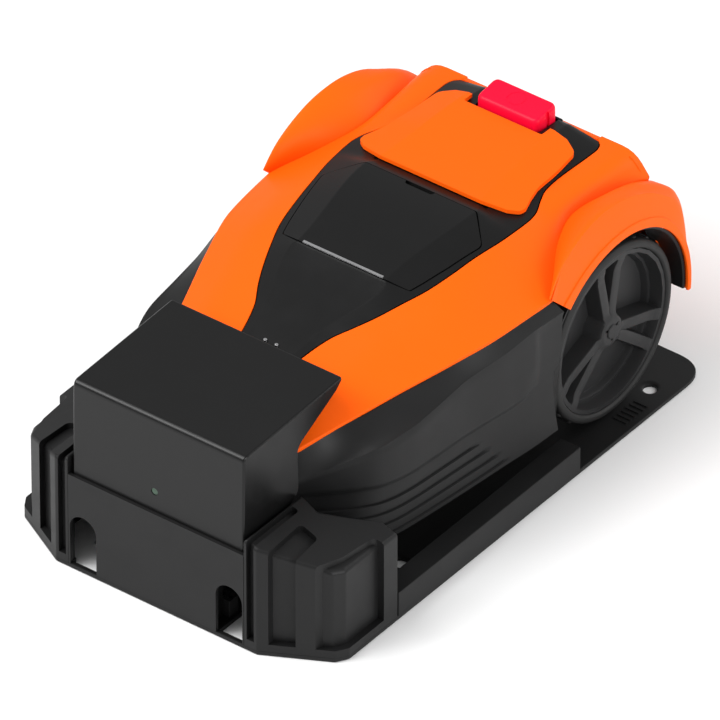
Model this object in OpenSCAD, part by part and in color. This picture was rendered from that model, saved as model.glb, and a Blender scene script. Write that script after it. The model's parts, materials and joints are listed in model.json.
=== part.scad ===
// Robotic lawn mower, parked in its charging station.
// +Y runs from the station's front to the mower's tail, +Z is up, and the
// origin is on the ground under the middle of the station's floor plate.

/* [Mower] */
// Width across the mower's skirts
mower_w = 376; // [330:1:460]
// Length from the charging strips to the fender tails
mower_l = 570; // [500:1:690]
// Height of the deck's rear edge above the plate
deck_h = 250; // [244:1:262]
// Thickness of the moulded covers
wall = 3; // [2.4:0.1:3.6]

/* [Drive wheels] */
// Radius over the tread lugs
wheel_r = 102.2; // [96:0.1:106]
// Width of the tyre
tyre_w = 40; // [30:1:48]
// Radius of the axle shaft
axle_r = 6; // [5:0.5:9]
// Gap between the tread and the wheel arch
arch_gap = 11.3; // [8:0.1:14]

/* [Casters] */
// Radius of a caster wheel
caster_r = 30; // [24:0.5:31]
// Width of a caster wheel
caster_w = 22; // [16:1:26]
// Offset of the caster axle behind its stem
caster_trail = 18; // [12:1:22]

/* [Cutter] */
// Radius of the blade disc
disc_r = 85; // [70:1:95]
// Height of the disc above the plate, as parked
cut_h = 38; // [34:1:42]
// Upward and downward travel of the cutter from there
cut_travel = 18; // [10:1:20]
// Length of a blade from its screw to its tip
blade_l = 34; // [26:1:38]

/* [Charging station] */
// Thickness of the floor plate
plate_t = 5; // [4:0.5:8]
// Height of the curbs above the plate
curb_h = 28; // [15:1:40]
// Height of the hood's rear edge above the ground
hood_h = 236; // [232:1:270]
// Width of the hood
hood_w = 214; // [206:1:218]
// Radius of the peg holes
peg_r = 7.5; // [5:0.5:9]

/* [Controls] */
// Travel of the stop button
stop_travel = 5; // [3:0.5:6]
// Travel of a key
key_travel = 1.2; // [0.8:0.1:1.6]
// Radius of the cutting height knob
knob_r = 32; // [26:1:36]

/* [Hidden] */

$fn = 48;
eps = 0.01;
gap = 0.3;          // between pieces that move past each other
run_fit = 0.05;     // radial clearance of a shaft in its bore
seam = 1.2;         // gap between neighbouring covers
orange = [1.0, 0.42, 0.08];
black = [0.09, 0.09, 0.095];
rubber = [0.06, 0.06, 0.065];
red = [0.95, 0.05, 0.18];
steel = [0.7, 0.71, 0.73];
copper = [0.8, 0.55, 0.3];

dock = 78;                      // from the station's front to the parked mower
plate_l = dock + mower_l;
curb_w = 10;
curb_gap = 5.5;
plate_w = mower_w + 2 * (curb_gap + curb_w);
kx = mower_w / 376;             // the mower's outlines are drawn at 376 by 570
ky = mower_l / 570;
kz = deck_h / 250;

axle_y = mower_l - 122;
axle_z = wheel_r + gap;
arch_r = wheel_r + arch_gap + 2.5;
wheel_x = mower_w / 2 - 13;     // outer face of the tyre
cutter_y = 292 * ky;
caster_y = 112 * ky;
caster_x = 105 * kx;
tub_floor = 67;
tub_top = 115;
cover_t = 3;
mount_h = 26;
rear_x = 125 * kx;              // half width of the tub between the wheels
stop_y = 516 * ky;
stop_w = 78;
stop_l = 35;
panel_z = 230 * kz;
well_floor = 208 * kz;

// Outlines of the covers, as [distance from the nose, half width, height]
deck_edge = [
    [8, 28, 167], [35, 29, 185], [72, 31, 198], [113, 38, 209], [144, 47, 217],
    [167, 60, 223], [187, 70, 227], [216, 82, 233], [247, 93, 238], [277, 99, 242],
    [311, 104, 246], [351, 110, 248], [387, 112, 249], [401, 110, 249],
    [422, 101, 250], [436, 96, 251], [462, 93, 250], [522, 95, 250], [533, 92, 250],
    [540, 84, 250]
];
crease = [
    [8, 60, 165], [35, 68, 184], [72, 78, 196], [125, 89, 206], [187, 105, 218],
    [247, 120, 230], [311, 127, 234], [351, 130, 235], [402, 126, 241],
    [436, 122, 247], [476, 123, 250], [522, 126, 251], [540, 126, 250]
];
shell_edge = [
    [8, 84, 158], [29, 98, 173], [88, 116, 181], [135, 131, 188], [203, 154, 199],
    [264, 171, 207], [322, 177, 209], [342, 178, 210], [370, 159, 220],
    [402, 141, 230], [439, 131, 234], [476, 134, 233], [532, 143, 228],
    [540, 145, 226]
];
deck_crease = [
    [8, 18, 170], [72, 22, 199], [112, 28, 211], [137, 32, 218], [222, 58, 243],
    [227, 55, 245], [356, 69, 260], [372, 63, 257], [488, 55, 262], [533, 52, 259],
    [540, 50, 252]
];
// The fender round the axle, as radii about it:
// [angle, half width at the root, root, inner crest, outer crest, lip]
fender = [
    [136, 178, 151, 158, 161, 131], [124, 159, 141, 155, 162, 129],
    [110, 141, 135, 151, 160, 128], [94, 131, 132, 148, 156, 127],
    [78, 134, 133, 147, 150, 127], [56, 143, 149, 150, 142, 127],
    [47, 148, 155, 151, 141, 126], [40, 150, 149, 147, 138, 125],
    [30, 151, 137, 135, 130, 124], [20, 152, 127, 127, 125, 123],
    [0, 152, 119, 121, 122, 122], [-6, 152, 119, 121, 122, 122]
];
fender_x = 182;
// The shell's rear face: [distance from the nose, half width, height]
rear_face = [
    [541.5, 84, 250], [547, 126, 248], [552, 143, 226], [560, 150, 203],
    [565, 152, 172], [567, 152, 130], [566, 152, 90]
];
// The skirt: [bottom x, y, shoulder x, y, z, top x, y, z]
skirt_line = [
    [0, 2, 0, 3, 128, 0, 8, 155], [50, 3, 50, 4, 128, 48, 9, 155],
    [80, 7, 79, 8, 130, 72, 12, 156], [94, 15, 93, 16, 132, 84, 18, 162],
    [108, 30, 105, 30, 136, 96, 30, 170], [128, 46, 122, 48, 146, 103, 48, 174],
    [147, 68, 141, 70, 155, 109, 68, 177], [158, 88, 156, 90, 163, 115, 88, 179],
    [164, 108, 164, 112, 169, 123, 112, 182], [168, 134, 168, 135, 172, 130, 135, 186],
    [172, 167, 169, 168, 176, 142, 168, 191], [176, 203, 170, 203, 181, 153, 203, 196],
    [182, 264, 179, 264, 187, 170, 264, 204], [186.5, 307, 183, 307, 192, 175, 307, 206],
    [188, 340, 185, 350, 190, 176.5, 341, 206]
];
skirt_bottom = 50;
front_lid_line = [[227, 55], [233, 79], [250, 84], [280, 91], [325, 99.5], [356, 69]];
console_line = [
    [372, 63], [380, 90], [388, 101], [396, 101.5], [412, 96], [428, 92], [470, 89],
    [499, 86], [507, 70]
];

function at_x(line, s) = lookup(s, [for (p = line) [p[0], p[1]]]);
function at_z(line, s) = lookup(s, [for (p = line) [p[0], p[2]]]);
function rail(line, s) = [kx * at_x(line, s), ky * s, kz * at_z(line, s)];
function mix(a, b, t) = a + (b - a) * t;
function flat(rows) = [for (row = rows) for (p = row) p];
function turned(f) = [f[0], f[2], f[1]];

// Height of the deck's skin at x, where s is the distance from the nose
function deck_z(x, s) =
    let (c = rail(deck_crease, s), e = rail(deck_edge, s))
    abs(x) <= c[0] ? c[2] : mix(c[2], e[2], (abs(x) - c[0]) / max(e[0] - c[0], 1));

// A skin between two grids of points, closed round its rim
module skin(outer, inner, turn = false) {
    n = len(outer);
    m = len(outer[0]);
    k = n * m;
    tops = [for (i = [0 : n - 2]) for (j = [0 : m - 2])
        let (a = i * m + j, b = a + 1, c = a + m + 1, d = a + m)
        each [[a, b, c], [a, c, d], [k + a, k + c, k + b], [k + a, k + d, k + c]]];
    sides = [for (i = [0 : n - 2])
        let (a = i * m, d = a + m, b = a + m - 1, c = b + m)
        each [[a, d, k + d], [a, k + d, k + a], [b, k + b, k + c], [b, k + c, c]]];
    ends = [for (j = [0 : m - 2])
        let (a = j, b = j + 1, d = (n - 1) * m + j, c = d + 1)
        each [[b, a, k + a], [b, k + a, k + b], [d, c, k + c], [d, k + c, k + d]]];
    all = concat(tops, sides, ends);
    polyhedron(concat(flat(outer), flat(inner)),
        turn ? all : [for (f = all) turned(f)]);
}

module both() {
    children();
    mirror([1, 0, 0]) children();
}

// Station pieces are drawn from the station's front edge
module from_front() {
    translate([0, -plate_l / 2, 0]) children();
}

// Mower pieces are drawn from the parked mower's nose, on the plate
module from_nose() {
    translate([0, dock - plate_l / 2, plate_t]) children();
}

module round_box(size, r) {
    translate([-size[0] / 2, -size[1] / 2, 0])
        linear_extrude(size[2])
            union() {
                translate([r, 0]) square([size[0] - 2 * r, size[1]]);
                translate([0, r]) square([size[0], size[1] - 2 * r]);
                for (x = [r, size[0] - r], y = [r, size[1] - r])
                    translate([x, y]) circle(r);
            }
}

module along_x(h, r) {
    rotate([0, 90, 0]) cylinder(h = h, r = r, center = true);
}

// ---------- charging station ----------

tower_in = hood_w / 2 + 3;
tower_out = plate_w / 2;
tower_line = [
    [tower_in, 0], [tower_in + 16, 0], [tower_out - 8, 37], [tower_out, 50],
    [tower_out, 129], [tower_out - 19, 130], [tower_out - 44, 109],
    [tower_out - 70, 89], [tower_in, 93]
];
rear_pegs = [plate_w / 2 - 26, plate_l - 63.5];
front_pegs = [plate_w / 2 - 52.5, 202];
hood_wall = 4;
carrier_z = 110;
contact_x = 22;
contact_r = 5;
light = [-4, 140];
light_r = 4;

module peg_hole(x, y) {
    translate([x, y, -1]) cylinder(h = plate_t + 2, r = peg_r);
    translate([x, y, plate_t - 2.5]) cylinder(h = 3, r1 = peg_r, r2 = peg_r + 4.5);
}

module base_plate() {
    corner = 36;
    half = plate_w / 2;
    color(black) from_front() {
        difference() {
            linear_extrude(plate_t)
                union() {
                    polygon([
                        [-tower_in - 16, 0], [tower_in + 16, 0], [tower_out - 8, 37],
                        [half, 50], [half, plate_l - corner], [half - corner, plate_l],
                        [corner - half, plate_l], [-half, plate_l - corner], [-half, 50],
                        [8 - tower_out, 37]
                    ]);
                    for (x = [-1, 1])
                        translate([x * (half - corner), plate_l - corner]) circle(corner);
                }
            for (x = [-1, 1]) {
                peg_hole(x * rear_pegs[0], rear_pegs[1]);
                peg_hole(x * front_pegs[0], front_pegs[1]);
            }
            // Openings behind the arches, over bare ground
            both() translate([0, 0, -1]) linear_extrude(plate_t + 2) polygon(open_line);
        }
        both() {
            translate([half - curb_w, 130 + gap, plate_t])
                cube([curb_w, 302 * ky, curb_h]);
            for (i = [0 : 5])
                translate([wheel_x + 3, dock + axle_y - 6 + 7 * i, plate_t])
                    cube([half - 8 - wheel_x - 3, 3, 1.2]);
        }
    }
}

hollow_h = 56;
hollow_line = [
    [tower_in - 1, 10], [tower_in + 14, 10], [tower_in + 40, 28], [tower_in + 40, 75],
    [tower_in - 1, 75]
];
open_line = [
    [76, 5], [tower_in - 1, 5], [tower_in - 1, 11], [tower_in + 13.5, 11],
    [tower_in + 39, 29], [tower_in + 39, 74], [76, 74]
];

// One tower: a ribbed prism with a sloping top
module guide_tower() {
    low = 109;
    high = 136;
    slope = atan((high - low) / (tower_out - tower_in));
    color(black) from_front() difference() {
        translate([0, 0, plate_t]) linear_extrude(high) polygon(tower_line);
        translate([tower_in, -5, high]) rotate([0, slope, 0])
            translate([-20, 0, 0]) cube([160, 160, 60]);
        // Recessed panels in the top
        for (i = [0 : 2])
            translate([tower_in + 8 + 27 * i, 24 + 10 * i, high - 3 - 27 * i * tan(slope)])
                rotate([0, slope, 0]) cube([18, 46 + 6 * i, 20]);
        // Pockets between the ribs of the outer side
        for (i = [0 : 2])
            translate([tower_out - 7, 56 + 25 * i, 12]) cube([10, i == 1 ? 18 : 16, 80]);
        // Pockets between the ribs of the chamfered front
        translate([tower_in + 16, 0, 0])
            rotate([0, 0, atan(37 / (tower_out - 24 - tower_in))])
                for (i = [0 : 2])
                    translate([8 + 22 * i, -6, 12]) cube([15, 12, 86 - 5 * i]);
        translate([tower_in + 3, -6, 12]) cube([9, 12, 106]);
        // The inside is hollow behind the arch of the front panel
        translate([0, 0, plate_t - 1]) linear_extrude(hollow_h) polygon(hollow_line);
    }
}

module guide_tower_left() { guide_tower(); }

module guide_tower_right() { mirror([1, 0, 0]) guide_tower(); }

module hood() {
    split = 116;
    foot = 136;
    roof_end = 167;
    side = [
        [4, split], [6, hood_h - 6], [roof_end, hood_h], [157, hood_h - 9],
        [94, hood_h - 41], [94, foot - 1], [60, split]
    ];
    color(black) from_front() difference() {
        rotate([90, 0, 90]) linear_extrude(hood_w, center = true) polygon(side);
        rotate([90, 0, 90]) linear_extrude(hood_w - 2 * hood_wall, center = true)
            polygon([
                [4 + hood_wall, split - 1], [6 + hood_wall, hood_h - 6 - hood_wall],
                [roof_end + 9, hood_h - hood_wall], [roof_end + 9, foot - 30],
                [60, split - 1]
            ]);
        translate([light[0], -1, light[1]]) rotate([-90, 0, 0]) cylinder(h = 20, r = light_r + 0.05);
    }
}

module front_panel() {
    arch_x = hood_w / 2 - 15.5;
    arch_w = 33;
    arch_h = 69;
    color(black) from_front() difference() {
        union() {
            translate([-tower_in + gap / 2, 0, plate_t])
                cube([2 * tower_in - gap, hood_wall, 116 - plate_t - gap / 2]);
            for (x = [-1, 1])
                translate([x * 60 - 4, hood_wall - eps, plate_t]) cube([8, 22, 70]);
        }
        for (x = [-1, 1]) {
            translate([x * arch_x - arch_w / 2, -1, plate_t - 1])
                cube([arch_w, hood_wall + 2, arch_h - arch_w / 2 - plate_t + 1]);
            translate([x * arch_x, -1, arch_h - arch_w / 2])
                rotate([-90, 0, 0]) cylinder(h = hood_wall + 2, r = arch_w / 2);
        }
    }
}

module contact_carrier() {
    color(black) from_front() difference() {
        union() {
            translate([-45, 2 * hood_wall + 2, carrier_z]) cube([90, 52, 50]);
            translate([-50, hood_wall, plate_t]) cube([100, 46, carrier_z - plate_t]);
        }
        for (x = [-contact_x, contact_x])
            translate([x, 34, carrier_z + plate_t + 20]) rotate([-90, 0, 0])
                cylinder(h = 40, r = contact_r + run_fit);
        translate([-46, hood_wall + 6, plate_t - 1]) cube([92, 34, carrier_z - 3]);
    }
}

module charge_contact(x) {
    color(copper) from_front()
        translate([x, 40, carrier_z + plate_t + 20]) rotate([-90, 0, 0]) {
            cylinder(h = dock - gap - 40 - 2, r = contact_r);
            translate([0, 0, dock - gap - 42]) cylinder(h = 2, r1 = contact_r, r2 = 3);
        }
}

module charge_contact_left() { charge_contact(contact_x); }

module charge_contact_right() { charge_contact(-contact_x); }

module station_board() {
    color([0.1, 0.35, 0.18]) from_front() {
        translate([-40, 22, plate_t]) cube([80, 1.6, 78]);
        for (i = [0 : 3])
            translate([-32 + 18 * i, 23.6, 30]) cube([10, 5, 14]);
    }
}

module wire_terminals() {
    color([0.5, 0.5, 0.48]) from_front() both()
        for (i = [0 : 1])
            translate([55 + 9 * i, hood_wall + 22.2, plate_t]) difference() {
                cube([8, 14, 20]);
                translate([4, 7, 12]) cylinder(h = 9, r = 2.4);
            }
}

module status_light() {
    color([0.35, 0.9, 0.45]) from_front()
        translate([light[0], hood_wall + 0.9, light[1]]) rotate([-90, 0, 0])
            cylinder(h = 3.2, r = light_r);
}

module wire_peg() {
    color(steel) from_front() translate([-hood_w / 2 + 15.5, 26, 0]) {
        cylinder(h = plate_t + 16, r = 2);
        translate([0, 0, plate_t + 16]) cylinder(h = 2, r = 5);
    }
}

module station_screws() {
    color(steel) from_front() both()
        for (z = [10, 76])
            translate([35, 23.6, plate_t + z - 4]) rotate([-90, 0, 0]) cylinder(h = 1.8, r = 2.6);
}

// ---------- mower covers ----------

module arm() {
    rows = [8, 20, 29, 50, 72, 88, 113, 135, 167, 187, 203, 225, 247, 264, 290, 311, 322,
        342, 351, 360, 370, 387, 402, 422, 439, 457, 476, 500, 522, 533, 540];
    outer = [for (s = rows) [rail(deck_edge, s), rail(crease, s), rail(shell_edge, s)]];
    inner = [for (row = outer) [
        row[0] - [0, 0, wall], row[1] - [0.8, 0, wall], row[2] - [wall, 0, 1.2]]];
    skin(outer, inner);
}

function round_axle(a, r, x) = [x, axle_y + r * cos(a), axle_z + r * sin(a)];

// One row of the fender's skin, sunk by t towards the axle
function fender_row(a, t) =
    let (k = arch_r / 116, edge = kx * fender_x,
        root = kx * lookup(a, [for (f = fender) [f[0], f[1]]]) - 2.5,
        r = [for (i = [2 : 5]) k * lookup(a, [for (f = fender) [f[0], f[i]]])])
    [round_axle(a, r[0] - 1 - t, root), round_axle(a, r[1] - t, mix(root, edge, 0.5)),
        round_axle(a, r[2] - t, mix(root, edge, 0.9) - t / 2),
        round_axle(a, r[3] - t / 2, edge - t), round_axle(a, arch_r - t / 15, edge - t)];

module fender_skin() {
    angles = [for (i = [0 : 18]) mix(136, -6, i / 18)];
    skin([for (a = angles) fender_row(a, 0)], [for (a = angles) fender_row(a, wall)]);
}

module tail() {
    outer = [for (p = rear_face) [for (t = [-1, -0.5, 0.5, 1])
        [kx * p[1] * t, ky * p[0], kz * p[2]]]];
    inner = [for (row = outer) [for (p = row) p - [0, wall, wall * 0.4]]];
    skin(outer, inner);
}

mount_spots = [[112, 222, 219], [106, 482, 245]];

module orange_shell() {
    color(orange) from_nose() {
        both() {
            arm();
            fender_skin();
            // Sockets for the cushion mounts, with a rib on each
            for (m = mount_spots) {
                hull() {
                    translate([kx * m[0], ky * m[1], tub_top + cover_t + mount_h])
                        cylinder(h = 4, r = 8, $fn = 32);
                    translate([kx * m[0], ky * m[1], kz * m[2] - 1])
                        cylinder(h = 3, r = 5, $fn = 32);
                }
                hull() {
                    translate([kx * m[0], ky * m[1] - 12, kz * m[2] - 14]) cube([3, 24, 10]);
                    translate([kx * m[0], ky * m[1] - 4, kz * m[2] - 50]) cube([3, 8, 2]);
                }
            }
        }
        tail();
    }
}

// The deck's skin between two distances, lowered by drop
module deck_skin(rows, margin, drop, thick, line = deck_edge) {
    outer = [for (s = rows)
        let (x = kx * at_x(line, s) - margin, c = min(kx * at_x(deck_crease, s), x - 0.5))
        [for (p = [-x, -c, c, x]) [p, ky * s, deck_z(p, s) - drop]]];
    inner = [for (row = outer) [for (p = row) p - [0, 0, thick]]];
    skin(outer, inner);
}

// A straight-sided hole in the shape of a lid
module lid_hole(line, grow) {
    right = [for (p = line) [kx * p[1] + grow, ky * p[0]]];
    first = [right[0][0], right[0][1] - grow];
    last = [right[len(right) - 1][0], right[len(right) - 1][1] + grow];
    half = concat([first], right, [last]);
    back = [for (i = [len(half) - 1 : -1 : 0]) [-half[i][0], half[i][1]]];
    linear_extrude(400) polygon(concat(half, back));
}

module well(x, y0, y1, floor, top) {
    translate([-x, y0, floor]) difference() {
        cube([2 * x, y1 - y0, top - floor]);
        translate([wall, wall, wall]) cube([2 * (x - wall), y1 - y0 - 2 * wall, top]);
    }
}

knob_well = [62, 240 * ky, 344 * ky];
console_well = [82 * kx, 386 * ky, 482 * ky];
stop_well = [stop_w / 2 + wall + 1.5, stop_y - stop_l / 2 - wall - 1.5,
    stop_y + stop_l / 2 + wall + 1.5];
stop_floor = 238 * kz;
shaft_r = 5.5;
rain_x = 7;
rain_y = 110;
rain_r = 2;
lid_t = 3.5;
console_t = 4.5;
ledge_t = 2;
front_hinge = [231, 243.2];
console_hinge = [376, 258.8];
gutter_r = 5.6;
gutter_half = 74;

module well_hole(w) {
    translate([wall - w[0], w[1] + wall, 100])
        cube([2 * (w[0] - wall), w[2] - w[1] - 2 * wall, 300]);
}

deck_rows = [8, 20, 35, 50, 72, 92, 113, 137, 144, 167, 187, 216, 222];

// A trough along a hinge, in which the lid's front edge swings down.
module hinge_gutter(h, r, half, depth) {
    translate([0, ky * h[0], kz * h[1]]) intersection() {
        difference() {
            along_x(2 * half, r + 2);
            along_x(2 * half - 2 * wall, r);
        }
        translate([-half, -r - 2, -r - 2]) cube([2 * half, 2 * r + 4, r + 2 - depth]);
    }
}

module deck_panel() {
    front_low = lid_t + 0.5;
    gutter_low = front_low + 4.2;
    color(black) from_nose() {
        difference() {
            deck_skin(concat(deck_rows, [227, 247, 277, 311, 351, 356, 372, 387, 401, 422,
                436, 462, 488, 522, 533, 537]), seam, 0.5, wall);
            lid_hole(front_lid_line, seam);
            well_hole(console_well);
            well_hole(stop_well);
            translate([0, ky * console_hinge[0], kz * console_hinge[1]])
                along_x(2 * gutter_half - 2 * wall, gutter_r);
            for (x = [-rain_x, rain_x])
                translate([x, ky * rain_y, 150]) cylinder(h = 100, r = rain_r + run_fit);
        }
        hinge_gutter(console_hinge, gutter_r, gutter_half, 4.3);
        hinge_ear(console_hinge, 6.5);
        hinge_ear(front_hinge, 6.8);
        deck_skin([219, 225.6], 4.5, 0.5, gutter_low + ledge_t - 0.5);
        deck_skin([219, 227, 240], 4.5, gutter_low, ledge_t);
        difference() {
            deck_skin([238, 240.5], 4.5, front_low, gutter_low + ledge_t - front_low);
            well_hole(knob_well);
        }
        difference() {
            deck_skin([238, 247, 277, 311, 351, 356, 366], 4.5, front_low, ledge_t);
            well_hole(knob_well);
        }
        difference() {
            well(knob_well[0], knob_well[1], knob_well[2], well_floor,
                deck_z(knob_well[0], 240) - front_low - 1);
            translate([0, cutter_y, well_floor - 1]) cylinder(h = 10, r = shaft_r + run_fit);
        }
        well(console_well[0], console_well[1], console_well[2], panel_z - wall,
            kz * 249);
        well(stop_well[0], stop_well[1], stop_well[2], stop_floor, kz * 257);
    }
}

// ---------- hinges of the two lids ----------

ear_x = 41;
ear_w = 4;
pin_r = 1.2;

module hinge_ear(h, drop) {
    y = ky * h[0];
    z = kz * h[1];
    for (x = [-ear_x, ear_x])
        difference() {
            union() {
                translate([x, y, z]) along_x(ear_w, 2.2);
                translate([x - ear_w / 2, y - 1.4, z - drop]) cube([ear_w, 2.8, drop]);
            }
            translate([x, y, z]) along_x(12, pin_r);
        }
}

module hinge_cuts(h) {
    y = ky * h[0];
    z = kz * h[1];
    for (x = [-ear_x, ear_x]) {
        translate([x - ear_w / 2 - gap, y - 12, z - 8]) cube([ear_w + 2 * gap, 14.8, 16]);
        translate([x, y, z]) along_x(12, pin_r + run_fit);
    }
}

module hinge_pins() {
    color(steel) from_nose()
        for (h = [front_hinge, console_hinge], x = [-ear_x, ear_x])
            translate([x, ky * h[0], kz * h[1]]) along_x(11, pin_r);
}

module front_lid() {
    rows = [227, 233, 250, 280, 311, 325, 340, 356];
    color(black) from_nose() difference() {
        deck_skin(rows, 0, 0, lid_t, front_lid_line);
        hinge_cuts(front_hinge);
        translate([-17, ky * 356 - 4, 200]) cube([34, 8, 100]);
    }
}

module console_lid() {
    rows = [372, 380, 388, 396, 412, 428, 450, 470, 488, 499, 507];
    color(orange) from_nose() difference() {
        deck_skin(rows, 0, -console_t - 0.5, console_t, console_line);
        hinge_cuts(console_hinge);
        translate([-stop_w / 2 - 10, stop_y - stop_l / 2 - 6, 200]) cube([stop_w + 20, 60, 100]);
    }
}

module stop_button() {
    tilt = 8;
    base = 252 * kz;
    top = 274 * kz;
    color(red) from_nose() translate([0, stop_y, 0]) difference() {
        translate([0, 0, base]) round_box([stop_w, stop_l, top + 8 - base], 5);
        translate([-60, -stop_l / 2 - 20, top - 3]) rotate([tilt, 0, 0]) cube([120, 80, 40]);
        for (x = [-1, 1], y = [-3, 3])
            translate([x * stop_w / 2 - 1, y - 1, base - 1]) cube([2, 2, 60]);
    }
}

module stop_switch() {
    color([0.3, 0.3, 0.32]) from_nose()
        translate([-8, stop_y - 5, stop_floor + wall]) cube([16, 10, 252 * kz - stop_floor - wall
            - stop_travel - 0.2]);
}

// ---------- skirt and chassis ----------

function grown(p) = [kx * p[0], ky * p[1], p[2]];

module skirt() {
    last = len(skirt_line) - 1;
    side = [for (i = [0 : last])
        let (p = skirt_line[i])
        [grown([p[0], p[1], skirt_bottom]),
            grown([p[0] - 0.5, i == last ? 328 : p[1], 100]),
            grown([p[2], p[3], kz * p[4]]), grown([p[5], p[6], kz * p[7]])]];
    left = [for (i = [last : -1 : 1]) [for (p = side[i]) [-p[0], p[1], p[2]]]];
    outer = concat(left, side);
    n = len(outer);
    inner = [for (i = [0 : n - 1])
        let (a = outer[max(i - 1, 0)][0], b = outer[min(i + 1, n - 1)][0],
            d = [b[0] - a[0], b[1] - a[1], 0], u = d / norm(d))
        [for (p = outer[i]) p + wall * [-u[1], u[0], 0]]];
    color(black) from_nose() {
        skin(outer, inner, true);
        // Tabs that rest on the chassis cover
        both()
            for (t = [[98, 140, 16], [150, 152, 20], [225, 160, 26], [290, 166, 34]])
                hull() {
                    translate([kx * (t[1] - 12), ky * t[0], tub_top + cover_t])
                        cube([6, 14, wall]);
                    translate([kx * (at_x([for (p = skirt_line) [p[1], p[0]]], t[0])) - 4,
                        ky * t[0], tub_top + cover_t]) cube([1.5, 14, wall]);
                }
    }
}

tub_line = [
    [0, 14], [76, 22], [88, 30], [104, 46], [130, 70], [146, 92], [150, 122],
    [160, 202], [168, 262], [168, 318], [125, 322], [125, 548], [0, 548]
];

module tub_outline(shrink) {
    half = [for (p = tub_line) [kx * p[0] - (p[0] > 0 ? shrink : 0), ky * p[1]]];
    polygon(concat(half, [for (i = [len(half) - 2 : -1 : 1]) [-half[i][0], half[i][1]]]));
}

carriage_r = 34;
stem_r = 6;

module chassis_tub() {
    color(black) from_nose() difference() {
        union() {
            difference() {
                translate([0, 0, tub_floor]) linear_extrude(tub_top - tub_floor)
                    tub_outline(0);
                translate([0, ky * 14 + 12, tub_floor + 4]) linear_extrude(60)
                    intersection() {
                        tub_outline(4);
                        translate([-250, ky * 14 + 4 - ky * 14 - 12])
                            square([500, ky * 534 - 8 - ky * 14 + 14]);
                    }
            }
            for (x = [-1, 1])
                translate([x * caster_x, caster_y, tub_floor]) cylinder(h = 40, r = 14);
            translate([0, cutter_y, tub_floor]) cylinder(h = 44, r = carriage_r + 5);
        }
        translate([0, cutter_y, 0]) cylinder(h = 150, r = carriage_r + 0.08);
        for (x = [-1, 1])
            translate([x * caster_x, caster_y, 0]) cylinder(h = 150, r = stem_r + run_fit);
        translate([0, axle_y, axle_z]) along_x(2 * rear_x + 10, 10);
    }
}

module chassis_cover() {
    color([0.16, 0.16, 0.17]) from_nose() difference() {
        translate([0, 0, tub_top]) linear_extrude(cover_t) tub_outline(0);
        translate([0, cutter_y, tub_top - 1]) cylinder(h = 10, r = carriage_r + 4);
        for (x = [-1, 1])
            translate([x * caster_x, caster_y, tub_top - 1]) cylinder(h = 10, r = 9);
    }
}

module cushion_mounts() {
    color(rubber) from_nose() both()
        for (m = mount_spots)
            translate([kx * m[0], ky * m[1], tub_top + cover_t]) {
                cylinder(h = 8, r = 11);
                translate([0, 0, 8]) cylinder(h = mount_h - 16, r = 7);
                translate([0, 0, mount_h - 8]) cylinder(h = 8, r = 11);
            }
}

module cover_screws() {
    color(steel) from_nose() both()
        for (t = [[98, 140], [150, 152], [225, 160], [290, 166]])
            translate([kx * (t[1] - 12) + 3, ky * t[0] + 7, tub_top + cover_t + wall])
                cylinder(h = 2.2, r = 3);
}

module battery_pack() {
    color([0.15, 0.2, 0.32]) from_nose()
        translate([0, cutter_y + carriage_r + 46, tub_floor + 4]) round_box([130, 66, 40], 6);
}

module main_board() {
    color([0.08, 0.32, 0.16]) from_nose()
        translate([0, 430 * ky, tub_top + cover_t]) {
            translate([-60, -40, 5]) cube([120, 90, 1.6]);
            for (x = [-54, 54], y = [-34, 44]) translate([x, y, 0]) cylinder(h = 5, r = 3);
            for (i = [0 : 3]) translate([-50 + 26 * i, -20, 6.6]) cube([18, 18, 6]);
            translate([-40, 20, 6.6]) cube([80, 12, 9]);
        }
}

module gearmotor() {
    color([0.35, 0.36, 0.38]) from_nose() difference() {
        union() {
            translate([rear_x - 34, axle_y - 27, tub_floor + 4])
                cube([29.5, 54, tub_top - tub_floor - 5]);
            translate([rear_x - 68, axle_y, tub_floor + 25]) along_x(70, 18);
        }
        translate([rear_x, axle_y, axle_z]) along_x(60, axle_r + run_fit);
    }
}

module gearmotor_left() { gearmotor(); }

module gearmotor_right() { mirror([1, 0, 0]) gearmotor(); }

module charge_strips() {
    color(copper) from_nose()
        for (x = [-contact_x, contact_x]) translate([x - 8, 0, 120]) cube([16, 2.6 * ky, 20]);
}

module rain_pins() {
    color(steel) from_nose()
        for (x = [-rain_x, rain_x])
            translate([x, ky * rain_y, deck_z(0, rain_y) - 6]) cylinder(h = 8.5, r = rain_r);
}

// ---------- controls ----------

key_spots = [[-30, 1], [30, 1], [-30, -1], [30, -1]];
key_r = 7;

module control_panel() {
    h = 3;
    color([0.2, 0.2, 0.21]) from_nose()
        translate([0, 434 * ky, panel_z]) difference() {
            translate([0, 0, 0]) round_box([2 * console_well[0] - 2 * wall - 2, 84 * ky, h], 4);
            for (k = key_spots)
                translate([k[0], 16 * k[1], -1]) cylinder(h = 6, r = key_r + 0.3);
            translate([-16, -12, 1.6]) cube([32, 24, 4]);
            translate([50 - 5.3, -8.3, -1]) cube([10.6, 16.6, 6]);
        }
}

module display() {
    color([0.05, 0.12, 0.16]) from_nose()
        translate([-15.5, 434 * ky - 11.5, panel_z + 1.6]) cube([31, 23, 2.2]);
}

module key(i) {
    k = key_spots[i];
    color([0.55, 0.56, 0.58]) from_nose()
        translate([k[0], 434 * ky + 16 * k[1], panel_z + key_travel + 0.2])
            cylinder(h = 5, r = key_r);
}

module key_start() { key(0); }

module key_home() { key(1); }

module key_up() { key(2); }

module key_down() { key(3); }

rocker_tilt = 8;

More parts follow.
